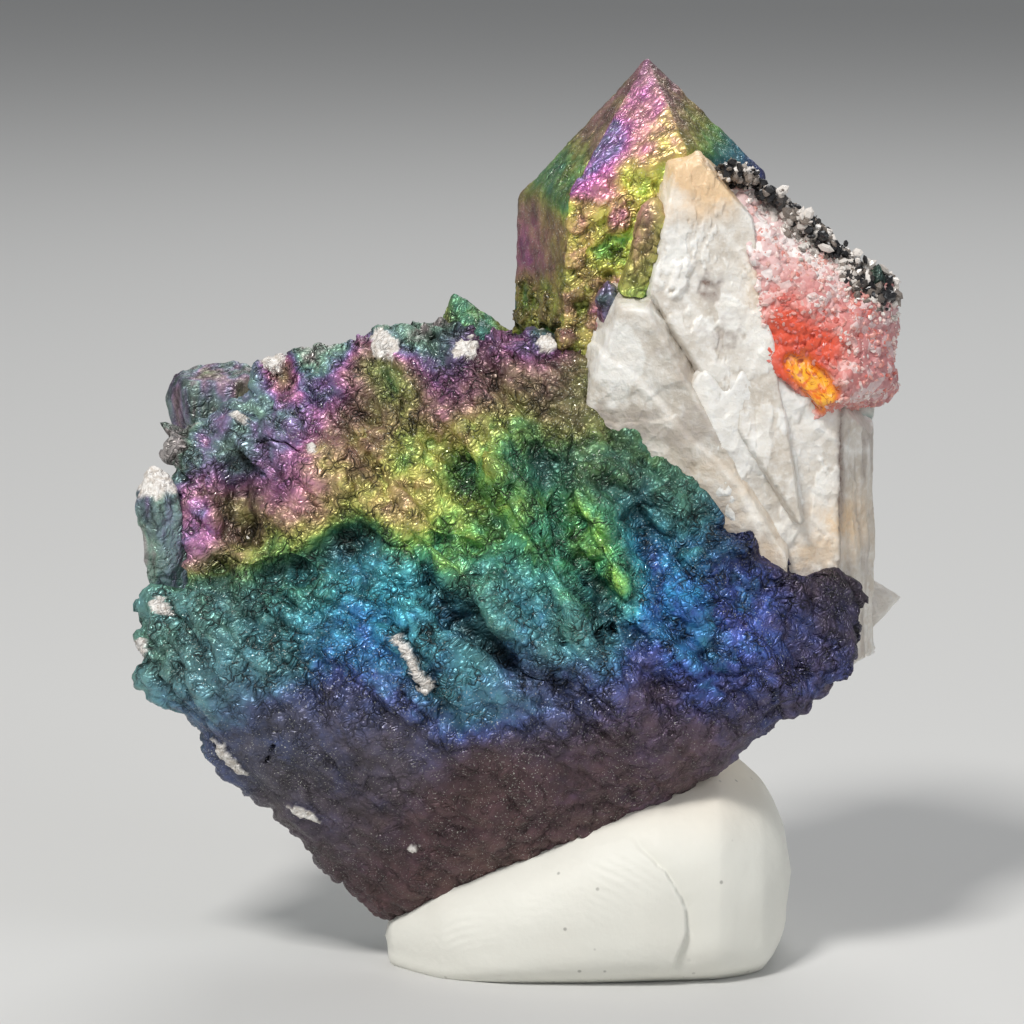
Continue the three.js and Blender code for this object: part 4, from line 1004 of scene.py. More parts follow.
def makeMainCrystal(material):
    # flat faces with fine etched grain, blocky and pitted on the front of the prism
    spec = crystals["main"]
    points, outward, facet, faces = crystalSurface(spec)
    x, z = points[:, 0], points[:, 2]
    forward = outward[:, 1] < 0
    rugged = smoothStep(1.6, 3.2, x) * smoothStep(9.5, 8.0, x) * smoothStep(45.0, 43.0, z) * forward
    rugged = np.maximum(rugged, smoothStep(38.6, 36.4, z) * forward)
    skinSize, skinHeight = spec["skin"]
    skin, seam, _ = wrinkledFilm(points * np.array([0.8, 0.8, 1.3]), skinSize, skinHeight, 131)
    # blocks at different levels with a ledge between them
    blockSize, blockHeight = spec["blocks"]
    bend = 0.16 * layeredNoise(points, 0.8, 133, 3)[:, None]
    nearest, second, level = cellPattern(points * np.array([0.9, 1.0, 1.15]) + bend, blockSize, 137)
    ledge = np.exp(-(((second - nearest) / 0.12) ** 2))
    steps = blockHeight * (level - 0.45) - spec["ledge"] * ledge
    pits = np.zeros(len(points))
    for px, pz, size, deep in spec["pits"]:
        pits += deep * bell(x, z, px, pz, 1.5 * size, size) * forward
    raised = spec["raisedHeight"] * spot(x, z, spec["raised"], 0, 0.75, 1.0) * forward
    lift = skin * (0.5 + 0.5 * rugged) + steps * rugged * 0.75 + 0.05 * layeredNoise(points, 1.4, 141, 4, 0.6)
    points = points + outward * (lift - pits + raised)[:, None]
    # film by side of the picture; the other faces get broad bands
    film = 0.5 + 0.22 * layeredNoise(points, 5.0, 151, 2) + 0.02 * (z - 43)
    dull = np.full(len(points), 0.25)
    bright = np.ones(len(points))
    for key, (facets, sideBright) in spec["sides"].items():
        chosen = np.isin(facet, facets)
        film = np.where(chosen, zoneValue(x, z, mainZones[key], 3), film)
        dull = np.where(chosen, zoneValue(x, z, mainZones[key], 4), dull)
        bright = np.where(chosen, sideBright, bright)
    film = film + 0.035 * layeredNoise(points, 1.1, 161, 4, 0.6)
    film += 0.08 * (level - 0.5) * rugged + 0.12 * raised
    lit = 1 + 0.18 * layeredNoise(points, 0.6, 171, 2)
    low = 1 - 0.40 * smoothStep(40.0, 36.0, z) * (outward[:, 0] < 0.2)
    bright = bright * low * (1 + 0.65 * rugged)
    # painted shade: the left and right sides darker, and darker in seams, on ledges and in pits
    addPiece("pointed_crystal", points, facesOutward(points, faces), material, {
        "film": film,
        "dull": dull,
        "shade": (1.10 - 0.35 * seam - 0.35 * ledge * rugged - 1.1 * pits) * lit * bright,
        "bare": 0,
        "glint": 0.9,
        "crisp": 0.25 + 0.5 * rugged,
    })


# Small crystals: name, film thickness, its change per millimetre of height, how far it ranges, dullness,
# brightness, and the height above which the crystal is bare.
smallCrystals = {
    "capsule": ("capsule_crystal", 0.57, 0.025, 0.06, 0.20, 1.25, 0),
    "edgePoint": ("edge_point", 0.47, 0.0, 0.10, 0.35, 0.85, 0),
    "leftStub": ("left_stub", 0.84, 0.0, 0.12, 0.60, 1.7, 26.3),
    "backBlock": ("back_block", 0.80, 0.0, 0.25, 0.75, 1.25, 0),
    "greyChip": ("grey_chip", 0.84, 0.0, 0.10, 0.60, 1.3, 0),
    "darkGrain": ("dark_grain", 0.42, 0.0, 0.06, 0.65, 0.45, 0),
}


def makeSmallCrystals(material):
    # the small crystals share one recipe: flat faces, etched grain, and film in upright bands
    for k, (key, look) in enumerate(smallCrystals.items()):
        name, film, rise, spread, dull, bright, bareAbove = look
        points, outward, _, faces = crystalSurface(crystals[key])
        height, seam, _ = wrinkledFilm(points, 0.7, 0.12, 211 + 10 * k)
        points = points + outward * (height + 0.08 * layeredNoise(points, 1.4, 221 + k, 3))[:, None]
        z = points[:, 2]
        bands = layeredNoise(points * np.array([1.8, 1.0, 0.35]), 2.0, 231 + k, 3)
        wobble = 0.35 * layeredNoise(points, 1.0, 241 + k, 2)
        mottle = 1 + 0.3 * layeredNoise(points, 0.6, 251 + k, 2)
        bare = smoothStep(-0.1, 0.1, z + wobble - bareAbove) if bareAbove else 0
        addPiece(name, points, facesOutward(points, faces), material, {
            "film": film + spread * bands + rise * (z - z.mean()),
            "dull": dull,
            "shade": bright * (1 - 0.6 * seam * (1 - bare)) * mottle,
            "bare": bare,
            "glint": 0.5,
            "crisp": 0.4,
        })


def conchoidSteps(points, strike, gap, depth, seed, bend=1.1):
    # shell-like steps: a saw edge along the bent distance from where it was struck; also gives their lines
    distance = np.linalg.norm(points - np.array(strike), axis=1) + bend * layeredNoise(points, 5.0, seed, 3)
    phase = distance / gap
    saw = phase - np.floor(phase)
    line = np.exp(-(((saw - 0.9) / 0.07) ** 2))
    line = line * smoothStep(-0.5, 0.3, layeredNoise(points, 2.0, seed + 5, 2))
    return depth * (saw - smoothStep(0.88, 0.97, saw)), line


def brokenRelief(points, seed, size, height):
    # flat facets in straight ridges, small plates with chipped edges, and a frosted skin
    bend = 0.5 * np.stack([layeredNoise(points, 2.0, seed + k, 2) for k in range(3)], 1)
    nearest, second, level = cellPattern(points + bend, size, seed + 3)
    plates = height * (level - 0.5) * smoothStep(0.02, 0.09, second - nearest)
    facets = 1.5 * height * facetWaves(points, 2.6 * size, seed + 5)
    return plates + facets + 0.02 * layeredNoise(points, 0.5, seed + 7, 3, 0.6)


def milkPatches(points, size, seed):
    # large milky patches with sharp ragged edges: 1 where milky
    flow = points * np.array([1.0, 1.0, 0.7])
    return smoothStep(-0.04, 0.05, layeredNoise(flow, size, seed, 5, 0.62))


# Lower broken quartz: its marks, and where each flat facet passes and the way it faces.
block = {
    "strike": (24.0, 0.0, 46.0),
    "stepGap": 3.1,
    "stepDepth": 0.09,
    "relief": (2.2, 0.12),  # size and height of its small plates
    "milkSize": 2.6,
    "ribHeight": 0.16,
    "teeth": 0.7,
    "stains": [(0.75, 17.4, 24.4, 1.6, 1.6), (0.45, 15.2, 22.8, 1.3, 0.9)],  # strength, x, z, reaches
    "fissure": (17.5, 0.25),  # x and half width
    "centre": (12.8, 4.0, 25.0),
    "stretch": (0.9, 0.75, 1.25),
    "cells": 126,
    "soft": 0.04,
    "facets": [
        ((13.4, -1.6, 25.0), (0.27, -0.96, 0.03)),
        ((10.8, -2.1, 28.0), (-0.42, -0.9, -0.1)),
        ((17.4, -0.4, 26.0), (0.85, -0.52, 0.0)),
        ((19.4, 3.0, 25.0), (1.0, 0.0, 0.02)),
        ((19.3, 5.5, 26.0), (0.86, 0.5, 0.05)),
        ((18.1, 1.0, 30.4), (0.8, -0.15, 0.58)),
        ((14.4, 0.0, 32.6), (0.25, -0.3, 0.92)),
        ((12.0, 8.5, 33.0), (0.1, 0.7, 0.7)),
        ((11.0, 10.5, 28.0), (0.05, 1.0, 0.1)),
        ((5.5, 5.0, 28.0), (-0.95, 0.2, 0.0)),
        ((18.6, 1.0, 16.8), (0.5, -0.2, -0.84)),
        ((12.0, 2.0, 13.5), (0.1, 0.1, -1.0)),
    ],
}


def makeBlock(material):
    # the lower broken quartz: milky front, a ribbed side kept grey, partly its own grey and partly painted
    # shade, and a warm stain low on the right
    points, outward, facet, faces = facetedSurface(block)
    x, y, z = points.T
    ribbed = np.isin(facet, (2, 3)).astype(float)
    ribs = block["ribHeight"] * layeredNoise(points * np.array([1.0, 1.6, 0.16]), 0.9, 305, 3) * ribbed
    steps, line = conchoidSteps(points, block["strike"], block["stepGap"], block["stepDepth"], 311)
    milk = milkPatches(points, block["milkSize"], 333)
    lift = steps * (1 - ribbed) + ribs + brokenRelief(points, 331, *block["relief"]) + 0.10 * milk
    points = points + outward * lift[:, None]
    # a jagged top edge, seen against the stained lump
    teeth = layeredNoise(points * np.array([1.0, 0.15, 0.15]), 1.0, 335, 2) * smoothStep(30.0, 32.0, z)
    points[:, 2] += block["teeth"] * teeth
    # painted shade, in part: the ribbed side, facing away from the key light, is kept greyer and never milky
    grey = 0.55 - 0.55 * milk * (1 - ribbed) + 0.2 * ribbed - 0.6 * line
    grey += 0.25 * layeredNoise(points, 2.4, 351, 3)
    streaks = smoothStep(-0.1, 0.5, layeredNoise(points * np.array([3, 3, 0.4]), 2.0, 361, 3))
    clouds = smoothStep(0.25, 0.6, layeredNoise(points * np.array([1, 1, 0.6]), 1.8, 365, 3))
    middle, width = block["fissure"]
    fissure = np.exp(-(((x - middle) / width) ** 2)) * smoothStep(22.0, 27.0, z) * (y < 1.5)
    addPiece("broken_block", points, facesOutward(points, faces), material, {
        "grey": grey,
        "stain": sum(strength * bell(x, z, *place) for strength, *place in block["stains"]),
        "smoke": 0.45 * ribbed * streaks + 0.40 * clouds * (1 - ribbed) * (1 - milk) + 0.9 * fissure,
    })


# Upper broken quartz.
spire = {
    "strike": (3.0, -2.0, 30.0),
    "stepGap": 3.3,
    "stepDepth": 0.07,
    "relief": (2.0, 0.10),
    "milkSize": 2.4,
    # marks: x, z and two half widths
    "chip": (8.6, 38.3, 0.65, 0.85),
    "window": (10.1, 37.9, 0.8, 1.0),
    "lowWindow": (11.2, 35.3, 1.3, 1.0),
    "sideStain": (12.6, 38.0, 0.7, 2.0),
    "centre": (10.6, 2.6, 36.0),
    "stretch": (0.55, 0.7, 1.5),
    "cells": 126,
    "soft": 0.05,
    "facets": [
        ((11.0, -1.7, 34.0), (0.12, -0.985, 0.12)),
        ((7.5, -1.0, 40.4), (-0.92, -0.32, 0.22)),
        ((9.6, -1.7, 33.6), (-0.8, -0.3, -0.5)),
        ((8.9, -0.3, 44.6), (-0.2, -0.2, 0.96)),
        ((11.5, 0.0, 42.7), (0.74, -0.1, 0.66)),
        ((13.3, 0.0, 37.4), (0.97, -0.15, 0.18)),
        ((10.8, 8.4, 36.0), (0.05, 0.98, 0.2)),
        ((10.5, 2.0, 25.0), (0.0, 0.0, -1.0)),
    ],
}


def makeSpire(material):
    # the upper broken quartz: peach top, milky lower down, with one frosted chip and smoky windows
    points, outward, _, faces = facetedSurface(spire)
    x, z = points[:, 0], points[:, 2]
    ragged = layeredNoise(points, 0.7, 373, 3, 0.7)
    chip = spot(x, z, spire["chip"], 0.6 * ragged, 0.6, 1.1)
    window = spot(x, z, spire["window"], 0.5 * ragged, 0.4, 1.2)
    lowWindow = spot(x, z, spire["lowWindow"], 0.7 * ragged, 0.3, 1.2)
    steps, line = conchoidSteps(points, spire["strike"], spire["stepGap"], spire["stepDepth"], 381)
    milk = milkPatches(points, spire["milkSize"], 383)
    lift = brokenRelief(points, 371, *spire["relief"]) + 0.25 * chip - 0.10 * window + steps + 0.08 * milk
    points = points + outward * lift[:, None]
    cloud = layeredNoise(points, 1.6, 395, 3)
    peach = 0.95 * smoothStep(41.4, 44.0, z + 0.6 * cloud) * (1 - 0.7 * chip)
    addPiece("broken_spire", points, facesOutward(points, faces), material, {
        "grey": 0.62 - 0.5 * milk + 0.3 * cloud + 0.3 * smoothStep(36.5, 34.0, z) - 1.2 * chip - 0.5 * line,
        "stain": peach + 0.35 * bell(x, z, *spire["sideStain"]),
        "smoke": (1.1 * window + 0.75 * lowWindow) * (1 - chip) * (0.75 + 0.5 * ragged),
    })


# Left broken quartz.
slab = {
    "strike": (-3.0, -2.0, 19.0),
    "stepGap": 3.4,
    "stepDepth": 0.14,
    "relief": (1.5, 0.10),
    "corner": (5.2, 34.2, 1.6, 2.6),
    "centre": (8.2, 1.6, 30.5),
    "stretch": (0.8, 0.6, 1.2),
    "cells": 124,
    "soft": 0.05,
    "facets": [
        ((7.5, -2.1, 33.0), (-0.22, -0.96, -0.12)),
        ((4.5, -1.0, 34.9), (-0.93, -0.3, 0.25)),
        ((5.9, -1.0, 37.2), (-0.05, -0.3, 0.95)),
        ((10.8, -1.5, 30.2), (0.8, -0.35, 0.45)),
        ((14.5, 2.0, 26.0), (1.0, 0.0, 0.0)),
        ((8.0, 6.5, 30.0), (0.0, 1.0, 0.2)),
        ((8.0, 0.0, 22.0), (0.0, 0.0, -1.0)),
    ],
}


def makeSlab(material):
    # the left broken quartz: beige and translucent, with curved break lines and a bright milky corner
    points, outward, _, faces = facetedSurface(slab)
    x, z = points[:, 0], points[:, 2]
    steps, line = conchoidSteps(points, slab["strike"], slab["stepGap"], slab["stepDepth"], 401, 0.7)
    points = points + outward * (steps + brokenRelief(points, 411, *slab["relief"]))[:, None]
    cloud = layeredNoise(points, 1.8, 421, 3)
    cx, cz, wide, tall = slab["corner"]
    corner = smoothStep(0.1, 0.35, 1.1 - np.hypot((x - cx) / wide, (z - cz) / tall) + 0.5 * cloud)
    addPiece("broken_slab", points, facesOutward(points, faces), material, {
        "grey": 0.80 + 0.30 * cloud - 0.85 * corner - 0.7 * line,
        "stain": 0.25 * smoothStep(30.0, 27.0, z),
        "smoke": 0.40 * smoothStep(0.0, 0.7, cloud) * (1 - corner),
    })


# Stained lump.
pocket = {
    "patch": (15.9, 32.6, 1.15, 1.9),  # the glassy patch: x, z and half widths
    "patchLean": 0.5,
    "reds": [(1.2, 15.2, 34.2, 1.9, 2.0), (0.9, 14.2, 35.4, 1.1, 2.2), (0.5, 16.8, 34.8, 1.2, 1.0)],
    "centre": (16.4, 2.6, 36.4),
    "stretch": (0.9, 0.9, 1.2),
    "cells": 124,
    "soft": 0.25,
    "facets": [
        ((16.0, -1.3, 36.0), (0.1, -1.0, 0.12)),
        ((16.3, -1.0, 38.0), (0.35, -0.75, 0.66)),
        ((19.2, -0.3, 35.5), (0.72, -0.68, 0.05)),
        ((20.4, 2.6, 36.5), (1.0, 0.05, 0.03)),
        ((18.4, 0.8, 31.0), (0.45, -0.3, -0.84)),
        ((14.6, -0.8, 31.8), (-0.5, -0.6, -0.6)),
        ((12.0, 0.5, 38.0), (-0.95, -0.3, -0.1)),
        ((12.4, 0.5, 43.6), (0.1, 0.27, 0.93)),
        ((16.6, 1.0, 40.6), (0.66, 0.28, 0.74)),
        ((18.0, 8.0, 36.0), (0.3, 0.95, 0.15)),
        ((16.6, 4.0, 31.5), (0.0, 0.3, -0.95)),
    ],
}


def makePocket(material):
    # the stained lump: sharp little cells, smoother on the glassy patch; returns its surface
    points, outward, _, faces = facetedSurface(pocket)
    x, y, z = points.T
    nearest, _, level = cellPattern(points, 0.45, 401)
    blur = 0.5 * layeredNoise(points, 1.2, 421, 3)
    cx, cz, wide, tall = pocket["patch"]
    place = np.hypot((x - cx - pocket["patchLean"] * (cz - z)) / wide, (z - cz) / tall) + 0.45 * blur
    orange = (1 - smoothStep(0.85, 1.15, place)) * (outward[:, 1] < 0.2)
    amber = (1 - smoothStep(0.5, 1.0, place)) * orange
    red = sum(strength * bell(x, z, *where) for strength, *where in pocket["reds"]) * smoothStep(3.5, 1.0, y)
    red = np.clip(red, 0, 1)
    pale = smoothStep(37.0, 40.0, z + blur) * 0.5
    height = (0.22 * (level - 0.5) + 0.10 * (0.5 - nearest)) * (1 - orange)
    height += 0.5 * facetWaves(points, 1.1, 431) * orange
    height += 0.40 * layeredNoise(points, 2.2, 431, 3) - 0.30 * orange
    points = points + outward * height[:, None]
    addPiece("stained_pocket", points, facesOutward(points, faces), material, {
        "orange": orange,
        "amber": amber,
        "red": red,
        "mauve": smoothStep(17.6, 19.6, x + blur) * 0.35 * smoothStep(38.6, 36.4, z),
        "pale": pale,
    })
    # sugar grains sit on the lump wherever it isn't glassy
    rng = np.random.default_rng(sugar["seed"])
    weight = (1 - orange) * (outward[:, 1] < 0.75) * (0.35 + 0.65 * np.clip(0.5 + blur, 0, 1))
    chosen = rng.choice(len(points), sugar["count"], replace=False, p=weight / weight.sum())
    size = sugar["smallest"] + (sugar["largest"] - sugar["smallest"]) * rng.random(len(chosen)) ** 2
    patchy = 0.5 + 0.8 * layeredNoise(points[chosen], 1.1, 441, 3)
    tone = 0.5 * rng.random(len(chosen)) + 0.4 * patchy + 0.2 * pale[chosen] - 0.35 * red[chosen]
    places = points[chosen] - sugar["sunk"] * size[:, None] * outward[chosen]
    scatterGrains("sugar_grains", places, size, tone, grainMaterial("rose_sugar", sugarLook), rng)
    return points


# Broken back of the stone.
matrix = {
    # where it was struck, gap, depth and seed of each set of steps
    "strikes": [((-18.0, 16.0, 30.0), 4.2, 0.4, 501), ((14.0, 14.0, 8.0), 3.0, 0.25, 511)],
    "filmedLess": (2, 4),  # the facets that are mostly bare
    "centre": (-1.5, 4.5, 19.5),
    "stretch": (1.3, 0.75, 1.1),
    "cells": 100,
    "soft": 0.25,
    "facets": [
        ((-1.0, -3.2, 17.0), (0.0, -0.88, 0.475)),
        ((-1.0, -3.6, 17.0), (0.0, -0.91, -0.41)),
        ((12.0, -2.4, 18.0), (0.4, -0.91, 0.0)),
        ((-12.0, -2.4, 18.0), (-0.4, -0.91, 0.0)),
        ((-2.0, 12.0, 20.0), (0.0, 1.0, 0.05)),
        ((-10.0, 10.5, 24.0), (-0.45, 0.85, 0.3)),
        ((8.0, 10.8, 16.0), (0.4, 0.88, -0.25)),
        ((-6.0, 9.0, 10.0), (-0.15, 0.7, -0.7)),
        ((2.0, 10.5, 29.0), (0.1, 0.8, 0.6)),
        ((-17.0, 4.0, 20.0), (-0.97, -0.1, 0.1)),
        ((-15.3, 3.0, 11.5), (-0.75, 0.1, -0.66)),
        ((-5.0, 5.0, 34.0), (-0.05, 0.1, 1.0)),
        ((-14.0, 4.0, 31.0), (-0.6, 0.0, 0.8)),
        ((14.5, 4.0, 16.0), (0.85, 0.2, -0.3)),
        ((-6.0, 3.0, 6.5), (-0.55, -0.05, -0.83)),
        ((4.0, 3.0, 9.5), (0.45, 0.0, -0.9)),
    ],
}


def makeMatrix(material):
    # the broken back: flat breaks, shell-like steps, and film that runs in from the edges
    points, outward, facet, faces = facetedSurface(matrix)
    broken = [conchoidSteps(points, *strike) for strike in matrix["strikes"]]
    steps = broken[0][0] + broken[1][0] + 0.5 * facetWaves(points, 4.0, 513)
    height = wrinkledFilm(points, 1.2, 0.45, 521)[0]
    reach = layeredNoise(points, 6.0, 531, 3) + np.where(np.isin(facet, matrix["filmedLess"]), -0.35, 0.25)
    cover = smoothStep(-0.05, 0.12, reach)
    lift = steps * (1 - cover) + height * cover + 0.4 * layeredNoise(points, 3.4, 541, 4)
    points = points + outward * lift[:, None]
    addPiece("matrix", points, facesOutward(points, faces), material, {
        "film": 0.42 + 0.3 * layeredNoise(points, 7.0, 551, 3),
        "dull": 0.55,
        "cover": cover,
        "grey": 0.35 + 0.5 * layeredNoise(points, 4.0, 561, 3) - 0.6 * broken[0][1],
        "stain": 0.5 * smoothStep(0.1, 0.6, layeredNoise(points, 5.0, 571, 3)),
        "smoke": 0,
    })


def makeSidePoint(material):
    # the pale point low at the back, smoky towards its root
    points, outward, _, faces = crystalSurface(crystals["sidePoint"])
    points = points + outward * (0.08 * layeredNoise(points, 1.2, 601, 3))[:, None]
    attributes = {"grey": 0.5, "stain": 0, "smoke": 0.5 * smoothStep(21.5, 18.5, points[:, 0])}
    addPiece("side_point", points, facesOutward(points, faces), material, attributes)


# Druse: black, grey and white sugary grains along the upper right shoulder.
druse = {
    "path": [(10.9, 0.4, 44.9), (12.2, 0.2, 44.5), (13.8, 0.1, 43.2), (15.2, 0.0, 41.8), (17.2, 0.1, 40.4),
             (18.8, 0.6, 39.0), (19.9, 1.2, 37.6)],
    "lift": -0.45,
    "count": 1500,
    "front": 1300,
    "reach": 1.9,
    "depth": 7.0,
    "drop": 0.34,
    "spread": 0.62,
    "smallest": 0.10,
    "largest": 0.38,
    "seed": 7,
}

# Sugar: pink and white grains over the stained pocket.
sugar = {
    "count": 5200,
    "smallest": 0.06,
    "largest": 0.24,
    "sunk": 0.5,
    "seed": 11,
}


def grainShape():
    # a small stubby six-sided grain with two blunt ends
    turns = np.radians(60 * np.arange(6))
    ring = np.stack([np.cos(turns), np.sin(turns), np.zeros(6)], 1)
    ring = 0.85 * ring
    points = np.concatenate([[(0, 0, -1.05)], ring + (0, 0, -0.45), ring + (0, 0, 0.45), [(0, 0, 1.05)]])
    around = np.arange(6)
    after = (around + 1) % 6
    low = np.stack([np.zeros(6, int), 1 + after, 1 + around], 1)
    sideA = np.stack([1 + around, 1 + after, 7 + after], 1)
    sideB = np.stack([1 + around, 7 + after, 7 + around], 1)
    high = np.stack([np.full(6, 13), 7 + around, 7 + after], 1)
    return points, np.concatenate([low, sideA, sideB, high])


def scatterGrains(name, places, size, tone, material, rng):
    # a copy of the grain at each place, turned and squashed by its own random draw, all in one mesh
    n = len(places)
    shape, tris = grainShape()
    quaternion = rng.normal(0, 1, (n, 4))
    quaternion /= np.linalg.norm(quaternion, axis=1, keepdims=True)
    w, a, b, c = quaternion.T
    turn = np.stack([
        1 - 2 * (b * b + c * c), 2 * (a * b - c * w), 2 * (a * c + b * w),
        2 * (a * b + c * w), 1 - 2 * (a * a + c * c), 2 * (b * c - a * w),
        2 * (a * c - b * w), 2 * (b * c + a * w), 1 - 2 * (a * a + b * b),
    ], 1).reshape(n, 3, 3)
    squash = np.stack([np.ones(n), 0.45 + 0.5 * rng.random(n), 0.7 + 0.9 * rng.random(n)], 1)
    points = np.einsum("nij,nkj->nki", turn, shape[None] * squash[:, None, :]) * size[:, None, None]
    points += places[:, None, :]
    faces = (tris[None] + (np.arange(n) * len(shape))[:, None, None]).reshape(-1, 3)
    points = points.reshape(-1, 3)
    attributes = {"tone": np.repeat(tone, len(shape))}
    addPiece(name, points, facesOutward(points, faces), material, attributes, smooth=False)


def makeDruse(material, ground):
    # grains along a path, back over the shoulder and down the stained lump: black above, paler below
    rng = np.random.default_rng(druse["seed"])
    n = druse["count"]
    path = np.array(druse["path"])
    t = rng.random(n) * (len(path) - 1)
    place = np.stack([np.interp(t, np.arange(len(path)), path[:, k]) for k in range(3)], 1)
    back = rng.random(n) ** 1.3
    place += np.stack([np.zeros(n), back * druse["depth"], -druse["drop"] * back * druse["depth"]], 1)
    stray = rng.normal(0, 0.5, (n, 3)) * np.array([1, 0.6, 0.8]) * druse["spread"]
    place += stray
    place[:, 2] += druse["lift"]
    # the front's grains sit on the stained lump, thinning out below the path
    away = lineDistance(ground[:, 0], ground[:, 2], path[:, [0, 2]])
    reach = druse["reach"]
    weight = smoothStep(reach, 0.3, away + 0.8 * layeredNoise(ground, 1.4, 711, 3)) * (ground[:, 1] < 3.0)
    chosen = rng.choice(len(ground), druse["front"], replace=False, p=weight / weight.sum())
    place = np.concatenate([place, ground[chosen]])
    low = np.concatenate([0.25 * np.hypot(*stray[:, [0, 2]].T), away[chosen] / reach])
    n = len(place)
    size = druse["smallest"] + (druse["largest"] - druse["smallest"]) * rng.random(n) ** 1.6 * (1 - 0.4 * low)
    tone = 0.60 * rng.random(n) + 0.55 * layeredNoise(place, 0.9, 721, 3) + 0.55 * low + 0.08
    scatterGrains("druse_grains", place, size, tone, material, rng)


# Putty: one row per station along the lump, drawn out to a point on the left.
putty = {
    "x": [-7.7, -7.2, -4.5, -1.2, 3.7, 7.5, 10.8, 13.2, 14.5, 15.0],
    "y": [-0.2, -0.3, 0.6, 1.4, 2.1, 2.4, 2.4, 2.3, 2.1, 2.0],
    "halfDepth": [0.0, 1.7, 5.4, 7.6, 9.1, 9.4, 8.8, 7.0, 4.2, 0.0],
    # where a section's underside would lie
    "base": [1.3, -0.2, -0.9, -1.0, -1.0, -1.0, -1.0, -0.6, 1.4, 4.4],
    "height": [1.3, 2.6, 4.7, 6.6, 9.4, 11.1, 11.2, 9.4, 7.2, 4.4],
    "waist": 0.42,
    "along": 300,
    "around": 300,
    "ridgeGap": 0.47,
    "ridgeHeight": 0.022,
    "creaseDepth": 0.30,
    # finger prints: strength, x, z and reaches; the ridges ring round the whorl
    "prints": [(1.2, 4.0, 6.0, 3.0, 1.9), (0.9, -3.8, 3.2, 2.4, 1.2)],
    "whorl": (0.2, -3.0),
    # the crease: x at each height
    "creaseZ": [0.0, 1.5, 3.2, 4.8, 6.4, 8.2],
    "creaseX": [7.6, 8.5, 9.0, 8.8, 8.0, 6.0],
    "middle": (4.0, 0.5, 4.0),
}


def alongStations(values, t):
    # a smooth curve through the stations' values, each tangent 0.3 of the step between its neighbours
    v = np.array(values, float)
    v = np.concatenate([[2 * v[0] - v[1]], v, [2 * v[-1] - v[-2]]])
    place = t * (len(values) - 1)
    k = np.minimum(place.astype(int), len(values) - 2)
    f = place - k
    p0, p1, p2, p3 = v[k], v[k + 1], v[k + 2], v[k + 3]
    m1, m2 = 0.3 * (p2 - p0), 0.3 * (p3 - p1)
    start = (2 * f**3 - 3 * f**2 + 1) * p1 + (f**3 - 2 * f**2 + f) * m1
    return start + (-2 * f**3 + 3 * f**2) * p2 + (f**3 - f**2) * m2


def makePutty(material):
    # sections across the lump, round above a waist and flat below, with finger ridges and a crease pressed in
    t = np.linspace(0, 1, putty["along"])[1:-1]
    turn = np.linspace(0, 2 * np.pi, putty["around"], endpoint=False)
    keys = ("x", "y", "halfDepth", "base", "height")
    x, y, half, base, tall = (alongStations(putty[k], t)[:, None] for k in keys)
    across = np.sign(np.cos(turn)) * np.abs(np.cos(turn)) ** 0.75
    up = np.sin(turn)
    waist = putty["waist"]
    level = np.where(up > 0, waist + (1 - waist) * np.abs(up) ** 0.9, waist * (1 - np.abs(up) ** 0.55))
    grid = np.stack([x + 0 * turn, y + half * across, np.maximum(base + (tall - base) * level, 0)], -1)
    normal = gridNormals(grid)
    normal *= np.sign(np.einsum("ijk,ijk->ij", normal, grid - np.array(putty["middle"])))[..., None]
    flat = grid.reshape(-1, 3)
    px, pz = flat[:, 0], flat[:, 2]
    whorlX, whorlZ = putty["whorl"]
    whorl = np.hypot(px - whorlX, 1.2 * (pz - whorlZ)) + 0.35 * layeredNoise(flat, 4.0, 701, 2)
    printed = sum(strength * bell(px, pz, *place) for strength, *place in putty["prints"])
    broken = smoothStep(-0.7, 0.5, layeredNoise(flat, 1.6, 703, 3))
    ridges = np.sin(whorl * 2 * np.pi / putty["ridgeGap"]) * putty["ridgeHeight"] * broken
    ridges = ridges * np.clip(printed, 0, 1)
    # the left lobe laps over the right one: the crease is steep on its right and soft on its left
    crease = np.interp(pz, putty["creaseZ"], putty["creaseX"])
    side = px - crease - 0.15 * layeredNoise(flat, 1.5, 705, 2)
    front = flat[:, 1] < 0
    reach = smoothStep(0.3, 1.6, pz) * (1 - smoothStep(7.0, 8.6, pz))
    dent = np.where(side > 0, -np.exp(-side / 0.9), 0.35 * np.exp(side / 1.1)) * putty["creaseDepth"]
    dent = dent * front * reach * (1 - np.exp(-((side / 0.10) ** 2)) * (side < 0))
    lumps = 0.14 * layeredNoise(flat, 4.2, 711, 2) + 0.012 * layeredNoise(flat, 0.5, 713, 2)
    lift = smoothStep(0.05, 1.0, pz)
    points = flat + normal.reshape(-1, 3) * ((ridges + dent + lumps) * lift)[:, None]
    points[:, 2] = np.maximum(points[:, 2], 0)
    ends = np.array([[putty[k][e] for k in ("x", "y", "base")] for e in (0, -1)])
    rows, columns = len(t), len(turn)
    index = np.arange(rows * columns).reshape(rows, columns)
    after = np.roll(index, -1, axis=1)
    quads = np.stack([index[:-1], after[:-1], after[1:], index[1:]], -1).reshape(-1, 4)
    points = np.concatenate([points, ends])
    quads = facesOutward(points, quads)
    firstFan = np.stack([np.full(columns, rows * columns), after[0], index[0]], 1)
    lastFan = np.stack([np.full(columns, rows * columns + 1), index[-1], after[-1]], 1)
    if quads[0][1] != after[0][0]:
        firstFan, lastFan = firstFan[:, ::-1], lastFan[:, ::-1]
    warm = smoothStep(7.0, 11.0, points[:, 2]) * 0.8
    faces = quads + firstFan.tolist() + lastFan.tolist()
    addPiece("putty", points, faces, material, {"warm": warm}, "putty_lump")


# Camera: a long lens a little above the object, looking along +Y.
view = {
    "target": (-0.56, 0.0, 25.27),
    "distance": 300.0,
    "elevation": 10.5,
    "lens": 191.76,
    "sensor": 36,
    "clip": (0.01, 10),
}


